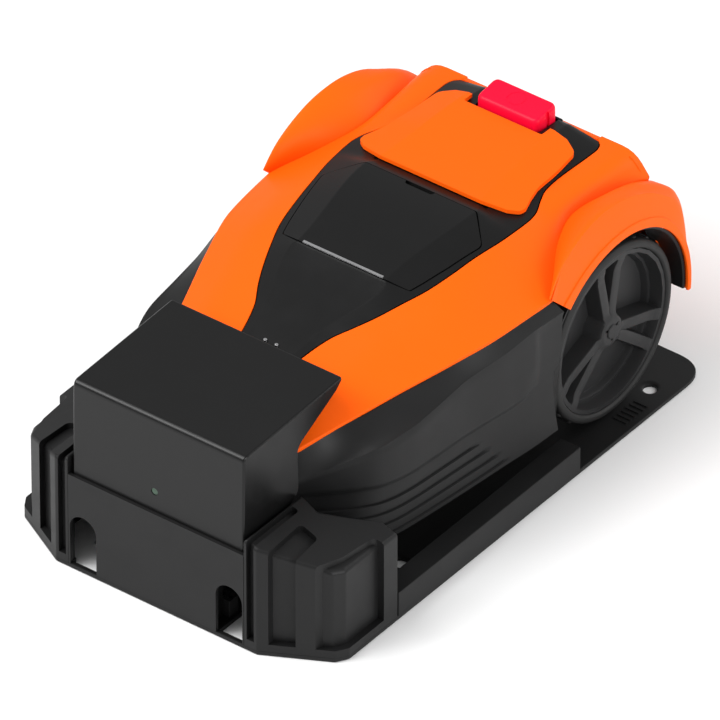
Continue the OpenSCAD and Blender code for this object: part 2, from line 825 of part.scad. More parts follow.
module power_switch() {
    color(red) from_nose()
        translate([50, 434 * ky, panel_z + 2.2]) rotate([rocker_tilt, 0, 0]) {
            difference() {
                translate([-5, -8, 0.4]) cube([10, 16, 4]);
                translate([-6, 0, 3]) rotate([rocker_tilt, 0, 0]) cube([12, 12, 4]);
            }
            along_x(10, 1.6);
        }
}

module height_knob() {
    color([0.12, 0.12, 0.13]) from_nose() translate([0, cutter_y, 0]) difference() {
        union() {
            translate([0, 0, well_floor + wall + gap]) cylinder(h = 20, r = knob_r);
            translate([-4, -knob_r + 3, well_floor + wall + gap + 20])
                cube([8, 2 * knob_r - 6, 8]);
            translate([0, 0, 102]) cylinder(h = well_floor - 102 + 5, r = shaft_r);
        }
        for (a = [0 : 30 : 330])
            rotate([0, 0, a]) translate([knob_r + 2, 0, well_floor]) cylinder(h = 40, r = 4);
    }
}

// ---------- cutter ----------

module cutter_carriage() {
    // Long enough to stay in its guide at both ends of the travel
    sleeve_h = 14 + 2 * cut_travel;
    color([0.25, 0.25, 0.27]) from_nose() translate([0, cutter_y, cut_h]) difference() {
        union() {
            translate([0, 0, 24]) cylinder(h = sleeve_h, r = carriage_r);
            translate([0, 0, 20 + sleeve_h]) cylinder(h = 34, r = 12);
        }
        translate([0, 0, 23]) cylinder(h = 23.2, r = 29);
        translate([0, 0, 46]) cylinder(h = 70, r = shaft_r + run_fit);
    }
}

module cutter_motor() {
    color(steel) from_nose() translate([0, cutter_y, cut_h]) {
        translate([0, 0, 10]) cylinder(h = 36, r = 28);
        translate([0, 0, 6]) cylinder(h = 4, r = 10);
    }
}

module blade_disc() {
    color([0.3, 0.3, 0.32]) from_nose() translate([0, cutter_y, cut_h]) difference() {
        union() {
            cylinder(h = 3, r = disc_r);
            cylinder(h = 5.5, r = 20);
        }
        for (i = [0 : 2])
            rotate([0, 0, 120 * i + 60]) translate([disc_r * 0.55, 0, -1]) cylinder(h = 8, r = 12);
        for (i = [0 : 2])
            rotate([0, 0, 120 * i]) translate([disc_r - 8, 0, -1]) cylinder(h = 8, r = 2.5);
    }
}

module blade(i) {
    color(steel) from_nose() translate([0, cutter_y, cut_h - 2.3])
        rotate([0, 0, 120 * i]) translate([disc_r - 8, 0, 0]) difference() {
            linear_extrude(1.2) union() {
                translate([-7, -8]) square([blade_l + 7, 16]);
                translate([-7, 0]) circle(8);
            }
            translate([0, 0, -1]) cylinder(h = 4, r = 2.6);
        }
}

module blade_a() { blade(0); }

module blade_b() { blade(1); }

module blade_c() { blade(2); }

module blade_screws() {
    color(steel) from_nose() translate([0, cutter_y, cut_h])
        for (i = [0 : 2])
            rotate([0, 0, 120 * i]) translate([disc_r - 8, 0, 0]) {
                translate([0, 0, -3]) cylinder(h = 6, r = 2.5);
                translate([0, 0, -5]) cylinder(h = 2, r = 5);
            }
}

// ---------- wheels ----------

rim_r = wheel_r - 12;
tread_r = wheel_r - 2.2;

module wheel_frame() {
    from_nose() translate([wheel_x, axle_y, axle_z]) rotate([0, 90, 0]) children();
}

module tyre() {
    color(rubber) wheel_frame() {
        translate([0, 0, -tyre_w]) rotate_extrude()
            polygon([
                [rim_r, 0], [tread_r - 5, 0], [tread_r, 4], [tread_r, tyre_w - 4],
                [tread_r - 5, tyre_w], [rim_r, tyre_w]
            ]);
        for (i = [0 : 23])
            rotate([0, 0, 15 * i]) translate([tread_r - 2, -3, 7 - tyre_w])
                cube([4.15, 6, tyre_w - 14]);
    }
}

module tyre_left() { tyre(); }

module tyre_right() { mirror([1, 0, 0]) tyre(); }

hub_r = 17;

module rim() {
    spoke_t = 12;
    color([0.2, 0.2, 0.21]) wheel_frame() {
        translate([0, 0, -tyre_w + 2]) rotate_extrude()
            polygon([
                [rim_r - 9, tyre_w - 8], [rim_r - 6, 0], [rim_r, 0], [rim_r, tyre_w - 4],
                [rim_r - 5, tyre_w - 4]
            ]);
        difference() {
            union() {
                translate([0, 0, -tyre_w]) cylinder(h = tyre_w - 4, r = hub_r);
                translate([0, 0, -tyre_w + 8]) cylinder(h = 3, r = rim_r - 3.5);
                translate([0, 0, -spoke_t - 8]) linear_extrude(spoke_t)
                    for (i = [0 : 2], t = [-1, 1])
                        rotate(120 * i + 178 + 9 * t)
                            translate([hub_r - 5, -5]) square([rim_r - hub_r + 1, 10]);
            }
            translate([0, 0, -tyre_w - 1]) cylinder(h = tyre_w + 2, r = axle_r);
        }
    }
}

module rim_left() { rim(); }

module rim_right() { mirror([1, 0, 0]) rim(); }

module axle() {
    color(steel) wheel_frame() {
        translate([0, 0, -tyre_w - 40]) cylinder(h = tyre_w + 34, r = axle_r);
        translate([0, 0, -6]) cylinder(h = 4, r = axle_r - 1.5);
    }
}

module axle_left() { axle(); }

module axle_right() { mirror([1, 0, 0]) axle(); }

module caster_frame() {
    from_nose() translate([caster_x, caster_y, 0]) children();
}

module caster_fork() {
    crown = caster_r + gap + caster_r + 2;
    color([0.2, 0.2, 0.21]) caster_frame() {
        cylinder_z = tub_floor - gap - crown;
        translate([0, 0, crown]) cylinder(h = cylinder_z, r = 13);
        translate([0, 0, crown]) cylinder(h = tub_floor + 36 - crown, r = stem_r);
        translate([-caster_w / 2 - 5, -4, crown]) cube([caster_w + 10, caster_trail + 14, 3]);
        for (x = [-1, 1])
            translate([x * (caster_w / 2 + 3) - 2, caster_trail - 6, caster_r - 6])
                cube([4, 12, crown + 3 - caster_r + 6]);
        translate([0, caster_trail, caster_r + gap]) along_x(caster_w + 8, 3);
    }
}

module caster_fork_left() { caster_fork(); }

module caster_fork_right() { mirror([1, 0, 0]) caster_fork(); }

module caster_wheel() {
    color(rubber) caster_frame()
        translate([0, caster_trail, caster_r + gap]) rotate([0, 90, 0]) difference() {
            union() {
                cylinder(h = caster_w - 6, r = caster_r, center = true);
                cylinder(h = caster_w, r = caster_r - 6, center = true);
            }
            cylinder(h = caster_w + 2, r = 3 + run_fit, center = true);
        }
}

module caster_wheel_left() { caster_wheel(); }

module caster_wheel_right() { mirror([1, 0, 0]) caster_wheel(); }

base_plate();
guide_tower_left();
guide_tower_right();
hood();
front_panel();
contact_carrier();
charge_contact_left();
charge_contact_right();
station_board();
wire_terminals();
status_light();
wire_peg();
station_screws();
chassis_tub();
chassis_cover();
skirt();
orange_shell();
deck_panel();
cushion_mounts();
battery_pack();
main_board();
gearmotor_left();
gearmotor_right();
charge_strips();
rain_pins();
control_panel();
display();
key_start();
key_home();
key_up();
key_down();
power_switch();
console_lid();
front_lid();
hinge_pins();
stop_button();
stop_switch();
height_knob();
cutter_carriage();
cutter_motor();
blade_disc();
blade_a();
blade_b();
blade_c();
blade_screws();
tyre_left();
tyre_right();
rim_left();
rim_right();
axle_left();
axle_right();
caster_fork_left();
caster_fork_right();
caster_wheel_left();
caster_wheel_right();
cover_screws();
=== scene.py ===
# %% [markdown]
# # A robotic lawn mower in its charging station
# The engineering model gives the size, the place and the motion of every piece, and this
# lesson gives the pieces their moulded shapes and their finishes. Each cell makes one
# piece or one finish, and says how the real thing is made and why it is built this way.
# We start by loading the fixed frame and keeping its box.

# %% Load the frame
import json
import math

import bmesh
import bpy
import numpy as np
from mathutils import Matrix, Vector


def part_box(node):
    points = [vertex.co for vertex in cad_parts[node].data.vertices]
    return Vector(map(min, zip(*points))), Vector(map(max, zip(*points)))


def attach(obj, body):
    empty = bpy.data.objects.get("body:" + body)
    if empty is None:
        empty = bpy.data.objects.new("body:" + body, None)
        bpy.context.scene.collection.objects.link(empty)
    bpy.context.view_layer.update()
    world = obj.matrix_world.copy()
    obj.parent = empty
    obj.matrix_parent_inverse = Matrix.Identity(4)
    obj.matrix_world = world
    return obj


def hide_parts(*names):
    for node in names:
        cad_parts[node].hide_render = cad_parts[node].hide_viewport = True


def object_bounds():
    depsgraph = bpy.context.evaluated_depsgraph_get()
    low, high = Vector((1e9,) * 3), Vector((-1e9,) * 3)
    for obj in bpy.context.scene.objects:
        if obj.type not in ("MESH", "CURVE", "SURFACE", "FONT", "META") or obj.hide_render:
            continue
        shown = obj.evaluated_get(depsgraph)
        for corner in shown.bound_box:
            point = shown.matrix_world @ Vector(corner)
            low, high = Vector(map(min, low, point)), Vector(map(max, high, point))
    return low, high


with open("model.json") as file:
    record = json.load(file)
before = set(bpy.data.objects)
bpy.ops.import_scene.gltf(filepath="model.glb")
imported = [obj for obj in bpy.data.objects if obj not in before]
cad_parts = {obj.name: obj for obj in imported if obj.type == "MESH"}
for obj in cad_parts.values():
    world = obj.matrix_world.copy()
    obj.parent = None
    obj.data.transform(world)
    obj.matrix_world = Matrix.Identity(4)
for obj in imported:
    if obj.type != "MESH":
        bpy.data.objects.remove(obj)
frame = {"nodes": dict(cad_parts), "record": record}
bpy.context.view_layer.update()
cad_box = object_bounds()
record = frame["record"]
BODY = {node: body for body, nodes in record["behaviour"]["bodies"].items() for node in nodes}
SLOT = {part["node"]: part["material_slot"] for part in record["subparts"]}
print("box of the engineering model", [round(v, 4) for corner in cad_box for v in corner])

# %% [markdown]
# ## Places
# All sizes below are millimetres. The mower's pieces are measured from its nose, which
# touches the charging contacts, and from the plate that it stands on. The station's
# pieces are measured from its front edge. Both origins come from the frame.

# %% Two origins
MM = 0.001
STATION_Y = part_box("base_plate")[0].y / MM
NOSE_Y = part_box("charge_strips")[0].y / MM
PLATE_T = 5
HALF_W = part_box("base_plate")[1].x / MM
PLATE_L = (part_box("base_plate")[1].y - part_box("base_plate")[0].y) / MM


def from_nose(x, s, z):
    return (x, NOSE_Y + s, z + PLATE_T)


def from_front(x, y, z):
    return (x, STATION_Y + y, z)


print("nose at", round(NOSE_Y, 1), "station front at", round(STATION_Y, 1))

# %% [markdown]
# ## Shader maths
# A small class wraps a socket, so that the finishes can be written as plain sums. A
# Math node would turn a colour grey, so colours go through Mix nodes instead.


# %% Value and Finish
class Value:
    """A number that changes over the surface, with the operators the finishes use."""

    def __init__(self, finish, socket):
        self.finish = finish
        self.socket = socket

    def maths(self, operation, a, b):
        return self.finish.node("ShaderNodeMath", {"operation": operation}, {0: a, 1: b})

    def __add__(self, other):
        return self.maths("ADD", self, other)

    def __radd__(self, other):
        return self.maths("ADD", other, self)

    def __sub__(self, other):
        return self.maths("SUBTRACT", self, other)

    def __rsub__(self, other):
        return self.maths("SUBTRACT", other, self)

    def __mul__(self, other):
        return self.maths("MULTIPLY", self, other)

    def __rmul__(self, other):
        return self.maths("MULTIPLY", other, self)


class Finish:
    """One material, with the one way in which its nodes are added."""

    def __init__(self, name, **constants):
        self.material = bpy.data.materials.new(name)
        self.material.use_nodes = True
        self.tree = self.material.node_tree
        self.shader = self.tree.nodes["Principled BSDF"]
        for socket, value in constants.items():
            self.shader.inputs[socket.replace("_", " ")].default_value = value
        self.place = self.node("ShaderNodeTexCoord", output="Object")

    def connect(self, value, socket):
        if isinstance(value, Value):
            self.tree.links.new(value.socket, socket)
        else:
            socket.default_value = value

    def node(self, kind, settings=None, sockets=None, output=0):
        made = self.tree.nodes.new(kind)
        for key, setting in (settings or {}).items():
            setattr(made, key, setting)
        for key, value in (sockets or {}).items():
            self.connect(value, made.inputs[key])
        return Value(self, made.outputs[output])

    def noise(self, scale, detail=2.0, stretch=None):
        place = self.place
        if stretch:
            place = self.node("ShaderNodeVectorMath", {"operation": "MULTIPLY"},
                              {0: place, 1: stretch})
        return self.node("ShaderNodeTexNoise", None,
                         {"Vector": place, "Scale": scale, "Detail": detail}, "Fac")

    def steps(self, value, low, high):
        return self.node("ShaderNodeMapRange", None,
                         {"Value": value, "From Min": low, "From Max": high})

    def mix(self, amount, a, b):
        mixed = self.tree.nodes.new("ShaderNodeMix")
        mixed.data_type = "RGBA"
        for name, value in (("Factor", amount), ("A", a), ("B", b)):
            kind = "VALUE" if name == "Factor" else "RGBA"
            place = next(s for s in mixed.inputs if s.name == name and s.type == kind)
            self.connect(value, place)
        return Value(self, next(s for s in mixed.outputs if s.type == "RGBA"))

    def bump(self, height, distance):
        normal = self.node("ShaderNodeBump", None,
                           {"Strength": 1.0, "Distance": distance, "Height": height})
        self.set("Normal", normal)

    def set(self, socket, value):
        self.connect(value, self.shader.inputs[socket])


print("maths class ready")

# %% [markdown]
# ## Moulded plastic
# Every cover is injection moulded. The tool's surface is spark eroded, so the plastic
# has a fine grain that spreads the highlights. The grain is a few tenths of a
# millimetre across, and the colour drifts slightly where the pigment and the dust do.


# %% Plastic finishes
def moulded(name, colour, roughness, shine=0.3, grain=0.00002, drift=0.12):
    shade = Finish(name, Specular_IOR_Level=shine)
    cloud = shade.noise(9, 3)
    speck = shade.noise(1400, 1)
    dust = shade.steps(shade.noise(38, 4), 0.45, 0.75)
    darker = tuple(c * (1 - drift) for c in colour[:3]) + (1,)
    lighter = tuple(min(c * (1 + drift), 1) for c in colour[:3]) + (1,)
    shade.set("Base Color", shade.mix(0.65 * cloud + 0.35 * speck, darker, lighter))
    shade.set("Roughness", roughness + 0.1 * (cloud - 0.5) + 0.05 * dust)
    shade.bump(speck + 0.35 * shade.noise(420, 2), grain)
    return shade.material


FINISH = {
    "orange_plastic": moulded("orange_plastic", (1.0, 0.115, 0.0025, 1), 0.46, shine=0.1,
                              drift=0.04),
    "black_plastic": moulded("black_plastic", (0.008, 0.008, 0.0082, 1), 0.46, shine=0.24),
    "black_gloss": moulded("black_gloss", (0.0045, 0.0045, 0.0046, 1), 0.3, shine=0.26,
                           grain=0.000008),
    "grey_plastic": moulded("grey_plastic", (0.016, 0.016, 0.0165, 1), 0.48),
    "red_plastic": moulded("red_plastic", (0.92, 0.003, 0.035, 1), 0.36, shine=0.14,
                           drift=0.05),
}
print("plastics:", ", ".join(FINISH))

# %% [markdown]
# ## Rubber, metal and the small finishes
# Rubber is matt and greys a little with dust. Turned steel carries fine rings or
# lines along the cut, so its grain is noise that is stretched along one axis. The
# contacts are plated, the boards have a solder mask with copper tracks under it.


# %% Other finishes
def rubber():
    shade = Finish("tyre_rubber", Specular_IOR_Level=0.35)
    cloud = shade.noise(22, 4)
    shade.set("Base Color", shade.mix(cloud, (0.010, 0.010, 0.010, 1), (0.017, 0.017, 0.0168, 1)))
    shade.set("Roughness", 0.52 + 0.16 * shade.noise(60, 3))
    shade.bump(shade.noise(900, 2), 0.00004)
    return shade.material


def metal(name, colour, roughness, stretch):
    shade = Finish(name, Metallic=1.0)
    lines = shade.noise(600, 3, stretch)
    dull = tuple(c * 0.7 for c in colour[:3]) + (1,)
    shade.set("Base Color", shade.mix(shade.noise(40, 3), dull, colour))
    shade.set("Roughness", roughness + 0.18 * lines)
    shade.bump(lines, 0.00001)
    return shade.material


def circuit_board():
    shade = Finish("board")
    tracks = shade.node("ShaderNodeTexWave", {"bands_direction": "DIAGONAL"},
                        {"Vector": shade.place, "Scale": 90, "Distortion": 14, "Detail": 1},
                        "Fac")
    line = shade.steps(tracks, 0.42, 0.5)
    shade.set("Base Color", shade.mix(line, (0.01, 0.075, 0.03, 1), (0.02, 0.17, 0.06, 1)))
    shade.set("Roughness", 0.3 + 0.15 * line)
    shade.bump(line, 0.00003)
    return shade.material


def battery_wrap():
    shade = Finish("battery_wrap", Coat_Weight=0.3)
    folds = shade.noise(55, 3, (1, 4, 1))
    shade.set("Base Color", shade.mix(folds, (0.03, 0.06, 0.15, 1), (0.05, 0.09, 0.22, 1)))
    shade.set("Roughness", 0.3 + 0.2 * folds)
    shade.bump(folds, 0.0004)
    return shade.material


def light_lens():
    shade = Finish("light_lens", Transmission_Weight=0.3)
    cells = shade.noise(800, 1)
    shade.set("Base Color", shade.mix(cells, (0.02, 0.05, 0.03, 1), (0.05, 0.12, 0.07, 1)))
    shade.set("Roughness", 0.25 + 0.2 * cells)
    return shade.material


def screen():
    shade = Finish("screen", Coat_Weight=0.8, Coat_Roughness=0.04)
    cells = shade.steps(shade.noise(2600, 0), 0.4, 0.6)
    shade.set("Base Color", shade.mix(cells, (0.012, 0.03, 0.022, 1), (0.02, 0.045, 0.034, 1)))
    shade.set("Roughness", 0.2 + 0.1 * cells)
    return shade.material


FINISH["tyre_rubber"] = rubber()
FINISH["steel"] = metal("steel", (0.60, 0.60, 0.61, 1), 0.24, (1, 1, 14))
FINISH["copper"] = metal("copper", (0.86, 0.58, 0.32, 1), 0.2, (9, 1, 1))
FINISH["board"] = circuit_board()
FINISH["battery_wrap"] = battery_wrap()
FINISH["light_lens"] = light_lens()
FINISH["screen"] = screen()
print(len(FINISH), "finishes")

# %% [markdown]
# ## Making a piece
# A few helpers do most of the mesh work. `build` turns points and faces into an object,
# `loft` joins closed cross-sections into a solid, `combine` cuts or joins two solids,
# and `fit` seats the result: it rides on the right body, takes the slot's finish and
# stands for its node. Every real edge is rounded, so `soften` adds a small bevel.


# %% Helpers
def build(name, points, faces):
    mesh = bpy.data.meshes.new(name)
    mesh.from_pydata([Vector(p) * MM for p in points], [], faces)
    work = bmesh.new()
    work.from_mesh(mesh)
    bmesh.ops.remove_doubles(work, verts=work.verts, dist=0.00002)
    bmesh.ops.dissolve_degenerate(work, edges=work.edges, dist=0.00001)
    bmesh.ops.recalc_face_normals(work, faces=work.faces)
    work.to_mesh(mesh)
    work.free()
    piece = bpy.data.objects.new(name, mesh)
    bpy.context.scene.collection.objects.link(piece)
    return piece


def loft(name, sections, caps=True, ring=False):
    """A solid through closed sections that have the same number of points."""
    n, m = len(sections), len(sections[0])
    faces = [(i * m + j, i * m + (j + 1) % m, (i + 1) % n * m + (j + 1) % m, (i + 1) % n * m + j)
             for i in range(n if ring else n - 1) for j in range(m)]
    if caps and not ring:
        faces += [tuple(range(m)), tuple(range((n - 1) * m, n * m))]
    return build(name, [p for section in sections for p in section], faces)


def settle(piece):
    """Bakes a piece's modifiers into its mesh."""
    bpy.context.view_layer.update()
    graph = bpy.context.evaluated_depsgraph_get()
    mesh = bpy.data.meshes.new_from_object(piece.evaluated_get(graph))
    piece.modifiers.clear()
    piece.data = mesh
    return piece


def combine(piece, tool, how="DIFFERENCE"):
    step = piece.modifiers.new("combine", "BOOLEAN")
    step.operation = how
    step.object = tool
    step.solver = "EXACT"
    settle(piece)
    bpy.data.objects.remove(tool)
    return piece


def soften(piece, width, segments=2, angle=30):
    bevel = piece.modifiers.new("bevel", "BEVEL")
    bevel.width = width * MM
    bevel.segments = segments
    bevel.limit_method = "ANGLE"
    bevel.angle_limit = math.radians(angle)
    bevel.use_clamp_overlap = True
    bevel.miter_outer = "MITER_ARC"
    settle(piece)
    return piece


def join(first, *others):
    """Adds other closed meshes to a piece."""
    work = bmesh.new()
    for piece in (first,) + others:
        work.from_mesh(piece.data)
    work.to_mesh(first.data)
    work.free()
    for piece in others:
        bpy.data.objects.remove(piece)
    return first


def fit(piece, *nodes, finish=None, smooth=35):
    """Seats a finished piece on its body in place of its nodes."""
    slot = finish or SLOT[nodes[0]]
    piece.name = nodes[0] + "_piece"
    piece.data.materials.clear()
    piece.data.materials.append(FINISH[slot])
    piece.data.polygons.foreach_set("use_smooth", [True] * len(piece.data.polygons))
    piece.data.set_sharp_from_angle(angle=math.radians(smooth))
    shading = piece.modifiers.new("shading", "WEIGHTED_NORMAL")
    shading.keep_sharp = True
    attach(piece, BODY[nodes[0]])
    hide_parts(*nodes)
    return piece


def smooth(table, column, at):
    """A smooth curve through a few given rows, which never overshoots them."""
    xs = np.array([row[0] for row in table], float)
    ys = np.array([row[column] for row in table], float)
    if xs[0] > xs[-1]:
        xs, ys = xs[::-1], ys[::-1]
    at = np.asarray(at, float)
    step = np.diff(xs)
    slope = np.diff(ys) / step
    pair = slope[:-1] * slope[1:]
    total = slope[:-1] + slope[1:]
    safe = np.where(np.abs(total) < 1e-9, 1, total)
    tangent = np.concatenate([[slope[0]], np.where(pair > 0, 2 * pair / safe, 0), [slope[-1]]])
    i = np.clip(np.searchsorted(xs, at) - 1, 0, len(xs) - 2)
    t = np.clip((at - xs[i]) / step[i], 0, 1)
    a, b = ys[i], ys[i + 1]
    return (a * (1 + 2 * t) * (1 - t) ** 2 + tangent[i] * step[i] * t * (1 - t) ** 2
            + b * t * t * (3 - 2 * t) + tangent[i + 1] * step[i] * t * t * (t - 1))


def mix(a, b, t):
    return a + (b - a) * t


def rounded(line, radius, steps=4):
    """A flat outline with its corners turned into arcs."""
    points = [Vector((p[0], p[1])) for p in line]
    out = []
    n = len(points)
    for i, p in enumerate(points):
        r = radius[i] if isinstance(radius, (list, tuple)) else radius
        if r <= 0:
            out.append(tuple(p))
            continue
        a, b = points[i - 1], points[(i + 1) % n]
        u, v = (a - p).normalized(), (b - p).normalized()
        half = math.acos(max(-1, min(1, u.dot(v)))) / 2
        if half > math.radians(88):
            out.append(tuple(p))
            continue
        back = min(r / math.tan(half), (a - p).length * 0.49, (b - p).length * 0.49)
        start, end = p + u * back, p + v * back
        for k in range(steps + 1):
            t = k / steps
            q = start * (1 - t) ** 2 + p * 2 * t * (1 - t) + end * t * t
            out.append(tuple(q))
    return out


def prism(name, line, low, high, place=from_nose):
    return loft(name, [[place(x, y, z) for x, y in line] for z in (low, high)])


def block(name, x0, x1, y0, y1, z0, z1, place=from_nose, corner=0.0):
    line = [(x0, y0), (x1, y0), (x1, y1), (x0, y1)]
    return prism(name, rounded(line, corner) if corner else line, z0, z1, place)


def turned(name, line, centre, sides=96, axis="x"):
    """A solid of revolution: the line is [(radius, distance along the axis)]."""
    cx, cy, cz = centre
    sections = []
    for k in range(sides):
        a = 2 * math.pi * k / sides
        c, s = math.cos(a), math.sin(a)
        if axis == "x":
            sections.append([(cx + h, cy + r * c, cz + r * s) for r, h in line])
        else:
            sections.append([(cx + r * c, cy + r * s, cz + h) for r, h in line])
    return loft(name, sections, ring=True)


print("helpers ready")

# %% [markdown]
# ## Camera and light
# The camera looks down over the station's front left corner from far away through a
# long lens, so the edges stay nearly parallel. Four large soft lights and a bright sky
# give the even light of a product table.


# %% Camera, floor and lights
def look_at(place, target):
    return (Vector(target) - Vector(place)).to_track_quat("-Z", "Y")


lo, hi = cad_box
AZIMUTH, ELEVATION = math.radians(37.3), math.radians(36.8)
back = Vector((math.sin(AZIMUTH) * math.cos(ELEVATION), -math.cos(AZIMUTH) * math.cos(ELEVATION),
               math.sin(ELEVATION)))
right = Vector((math.cos(AZIMUTH), math.sin(AZIMUTH), 0))
up = back.cross(right)
target = (lo + hi) / 2 + right * 0.006 - up * 0.0223
camera_data = bpy.data.cameras.new("camera")
camera_data.lens = 800
camera_data.sensor_width = 36
camera_data.clip_end = 60
camera = bpy.data.objects.new("camera", camera_data)
camera.location = target + back * 16.0
camera.rotation_mode = "QUATERNION"
camera.rotation_quaternion = look_at(camera.location, target)
bpy.context.scene.collection.objects.link(camera)
bpy.context.scene.camera = camera

floor_finish = Finish("floor")
floor_finish.set("Base Color", floor_finish.mix(floor_finish.noise(3), (0.90, 0.90, 0.90, 1),
                                                (0.93, 0.93, 0.93, 1)))
floor_finish.set("Roughness", 0.75)
floor = build("floor", [(-9000, -9000, 0), (9000, -9000, 0), (9000, 9000, 0), (-9000, 9000, 0)],
              [(0, 1, 2, 3)])
floor.location.z = -0.0005
floor.data.materials.append(floor_finish.material)


def lamp(name, azimuth, elevation, distance, size, power, high=1.0):
    data = bpy.data.lights.new(name, "AREA")
    data.shape = "RECTANGLE"
    data.size = size
    data.size_y = size * high
    data.energy = power
    a, e = math.radians(azimuth), math.radians(elevation)
    light = bpy.data.objects.new(name, data)
    light.location = Vector((math.sin(a) * math.cos(e), -math.cos(a) * math.cos(e),
                             math.sin(e))) * distance
    light.rotation_mode = "QUATERNION"
    light.rotation_quaternion = look_at(light.location, (0, 0, 0.1))
    bpy.context.scene.collection.objects.link(light)


lamp("key", -35, 60, 2.6, 1.6, 40)
lamp("edge", -39, 40, 3.0, 1.3, 34)
lamp("side", 80, 26, 2.8, 1.6, 34, 0.7)
lamp("rim", 150, 30, 3.0, 1.8, 20, 0.6)
world = bpy.data.worlds.new("sky")
world.use_nodes = True
world.node_tree.nodes["Background"].inputs["Color"].default_value = (1, 1, 1, 1)
world.node_tree.nodes["Background"].inputs["Strength"].default_value = 0.5
bpy.context.scene.world = world
bpy.context.scene.view_settings.view_transform = "Standard"
print("camera at", [round(v, 2) for v in camera.location])

# %% [markdown]
# ## The lines of the covers
# The covers share a few long lines, drawn as [distance from the nose, half
# width, height]: the deck's edge, the crease along each arm, the arm's lower edge and
# the crease of the deck. Smooth curves run through them, so one table serves the
# shell, the deck and both lids, and their seams stay parallel.

# %% Shared lines
DECK_EDGE = [
    [8, 28, 167], [35, 29, 185], [72, 31, 198], [113, 38, 209], [144, 47, 217],
    [167, 60, 223], [187, 70, 227], [216, 82, 233], [247, 93, 238], [277, 99, 242],
    [311, 104, 246], [351, 110, 248], [387, 112, 249], [401, 110, 249],
    [422, 101, 250], [436, 96, 251], [462, 93, 250], [522, 95, 250], [533, 92, 250],
    [540, 84, 250]]
CREASE = [
    [8, 60, 165], [35, 68, 184], [72, 78, 196], [125, 89, 206], [187, 105, 218],
    [247, 120, 230], [311, 127, 234], [351, 130, 235], [402, 126, 241],
    [436, 122, 247], [476, 123, 250], [522, 126, 251], [540, 126, 250]]
SHELL_EDGE = [
    [8, 84, 158], [29, 98, 173], [88, 116, 181], [135, 131, 188], [203, 154, 199],
    [264, 171, 207], [322, 177, 209], [342, 178, 210], [370, 159, 220],
    [402, 141, 230], [439, 131, 234], [476, 134, 233], [532, 143, 228],
    [540, 145, 226]]
DECK_CREASE = [
    [8, 18, 170], [72, 22, 199], [112, 28, 211], [137, 32, 218], [222, 58, 243],
    [227, 55, 245], [356, 69, 260], [372, 63, 257], [488, 55, 262], [533, 52, 259],
    [540, 50, 252]]
AXLE_S, AXLE_Z, ARCH_R, WALL = 448, 102.5, 116, 3
WHEEL_X = 175


def rail(table, s):
    return np.array([float(smooth(table, 1, s)), s, float(smooth(table, 2, s))])


def deck_z(x, s):
    crease, edge = rail(DECK_CREASE, s), rail(DECK_EDGE, s)
    t = max(0.0, (abs(x) - crease[0]) / max(edge[0] - crease[0], 1))
    return mix(crease[2], edge[2], t)


print("deck is", round(deck_z(0, 356), 1), "mm high behind the front lid")

# %% [markdown]
# ## The orange shell
# One moulding makes the two arms, the fenders and the tail. It is lofted in three
# kinds of section, then joined. An arm's section runs from the seam beside the deck,
# over a soft crease, to the edge above the skirt, and returns on the inside a wall's
# thickness lower.


# %% Arms
def profile(points, radii):
    """Rounds the corners of a line in space with short curves."""
    out = [points[0]]
    for before, p, after, r in zip(points, points[1:], points[2:], radii):
        u, v = before - p, after - p
        a = p + u * min(r / max(np.linalg.norm(u), 1e-6), 0.48)
        b = p + v * min(r / max(np.linalg.norm(v), 1e-6), 0.48)
        out += [a * (1 - t) ** 2 + p * 2 * t * (1 - t) + b * t * t
                for t in (0, 0.25, 0.5, 0.75, 1)]
    return out + [points[-1]]


def arm(side):
    sections = []
    for s in np.concatenate([np.linspace(8, 420, 84), np.linspace(424, 546, 42)]):
        at = min(s, 540)
        inner, crease, outer = (rail(table, at) for table in (DECK_EDGE, CREASE, SHELL_EDGE))
        for p in (inner, crease, outer):
            p[1] = s
        top = profile([inner + (0.2, 0, -7), inner, crease, outer, outer + (-1.5, 0, -5)],
                      [1.4, 16, 2.2])
        under = profile([outer + (-WALL - 1, 0, -5), outer + (-WALL, 0, -WALL),
                         crease + (0, 0, -WALL), inner + (WALL, 0, -WALL),
                         inner + (WALL, 0, -7)], [1.4, 12, 1])
        sections.append([from_nose(side * p[0], p[1], p[2]) for p in top + under])
    return loft("orange_shell", sections)


shell = arm(1)
combine(shell, arm(-1), "UNION")
print("arms:", len(shell.data.polygons), "faces")

# %% [markdown]
# ## Fenders and tail
# Each fender is a bulge round its wheel. Its rows fan out about the axle: every row
# starts under the arm, swells over the crest and drops to a flat lip in the plane of
# the wheel arch. The tail closes the back and turns its corners forward.

# %% Fenders and tail
# [angle, half width at the root, radii of the root, inner crest, outer crest and lip]
FENDER = [
    [136, 178, 151, 160, 164, 131], [124, 159, 142, 160, 168, 129],
    [110, 141, 137, 158, 167, 128], [94, 131, 135, 155, 163, 127],
    [78, 134, 136, 154, 157, 127], [56, 143, 151, 156, 149, 127],
    [47, 148, 156, 156, 147, 126], [40, 150, 151, 152, 143, 125],
    [30, 151, 139, 139, 134, 124], [20, 152, 127, 129, 127, 123],
    [0, 152, 119, 121, 122, 122], [-6, 152, 119, 121, 122, 122]]
FENDER_X = 182


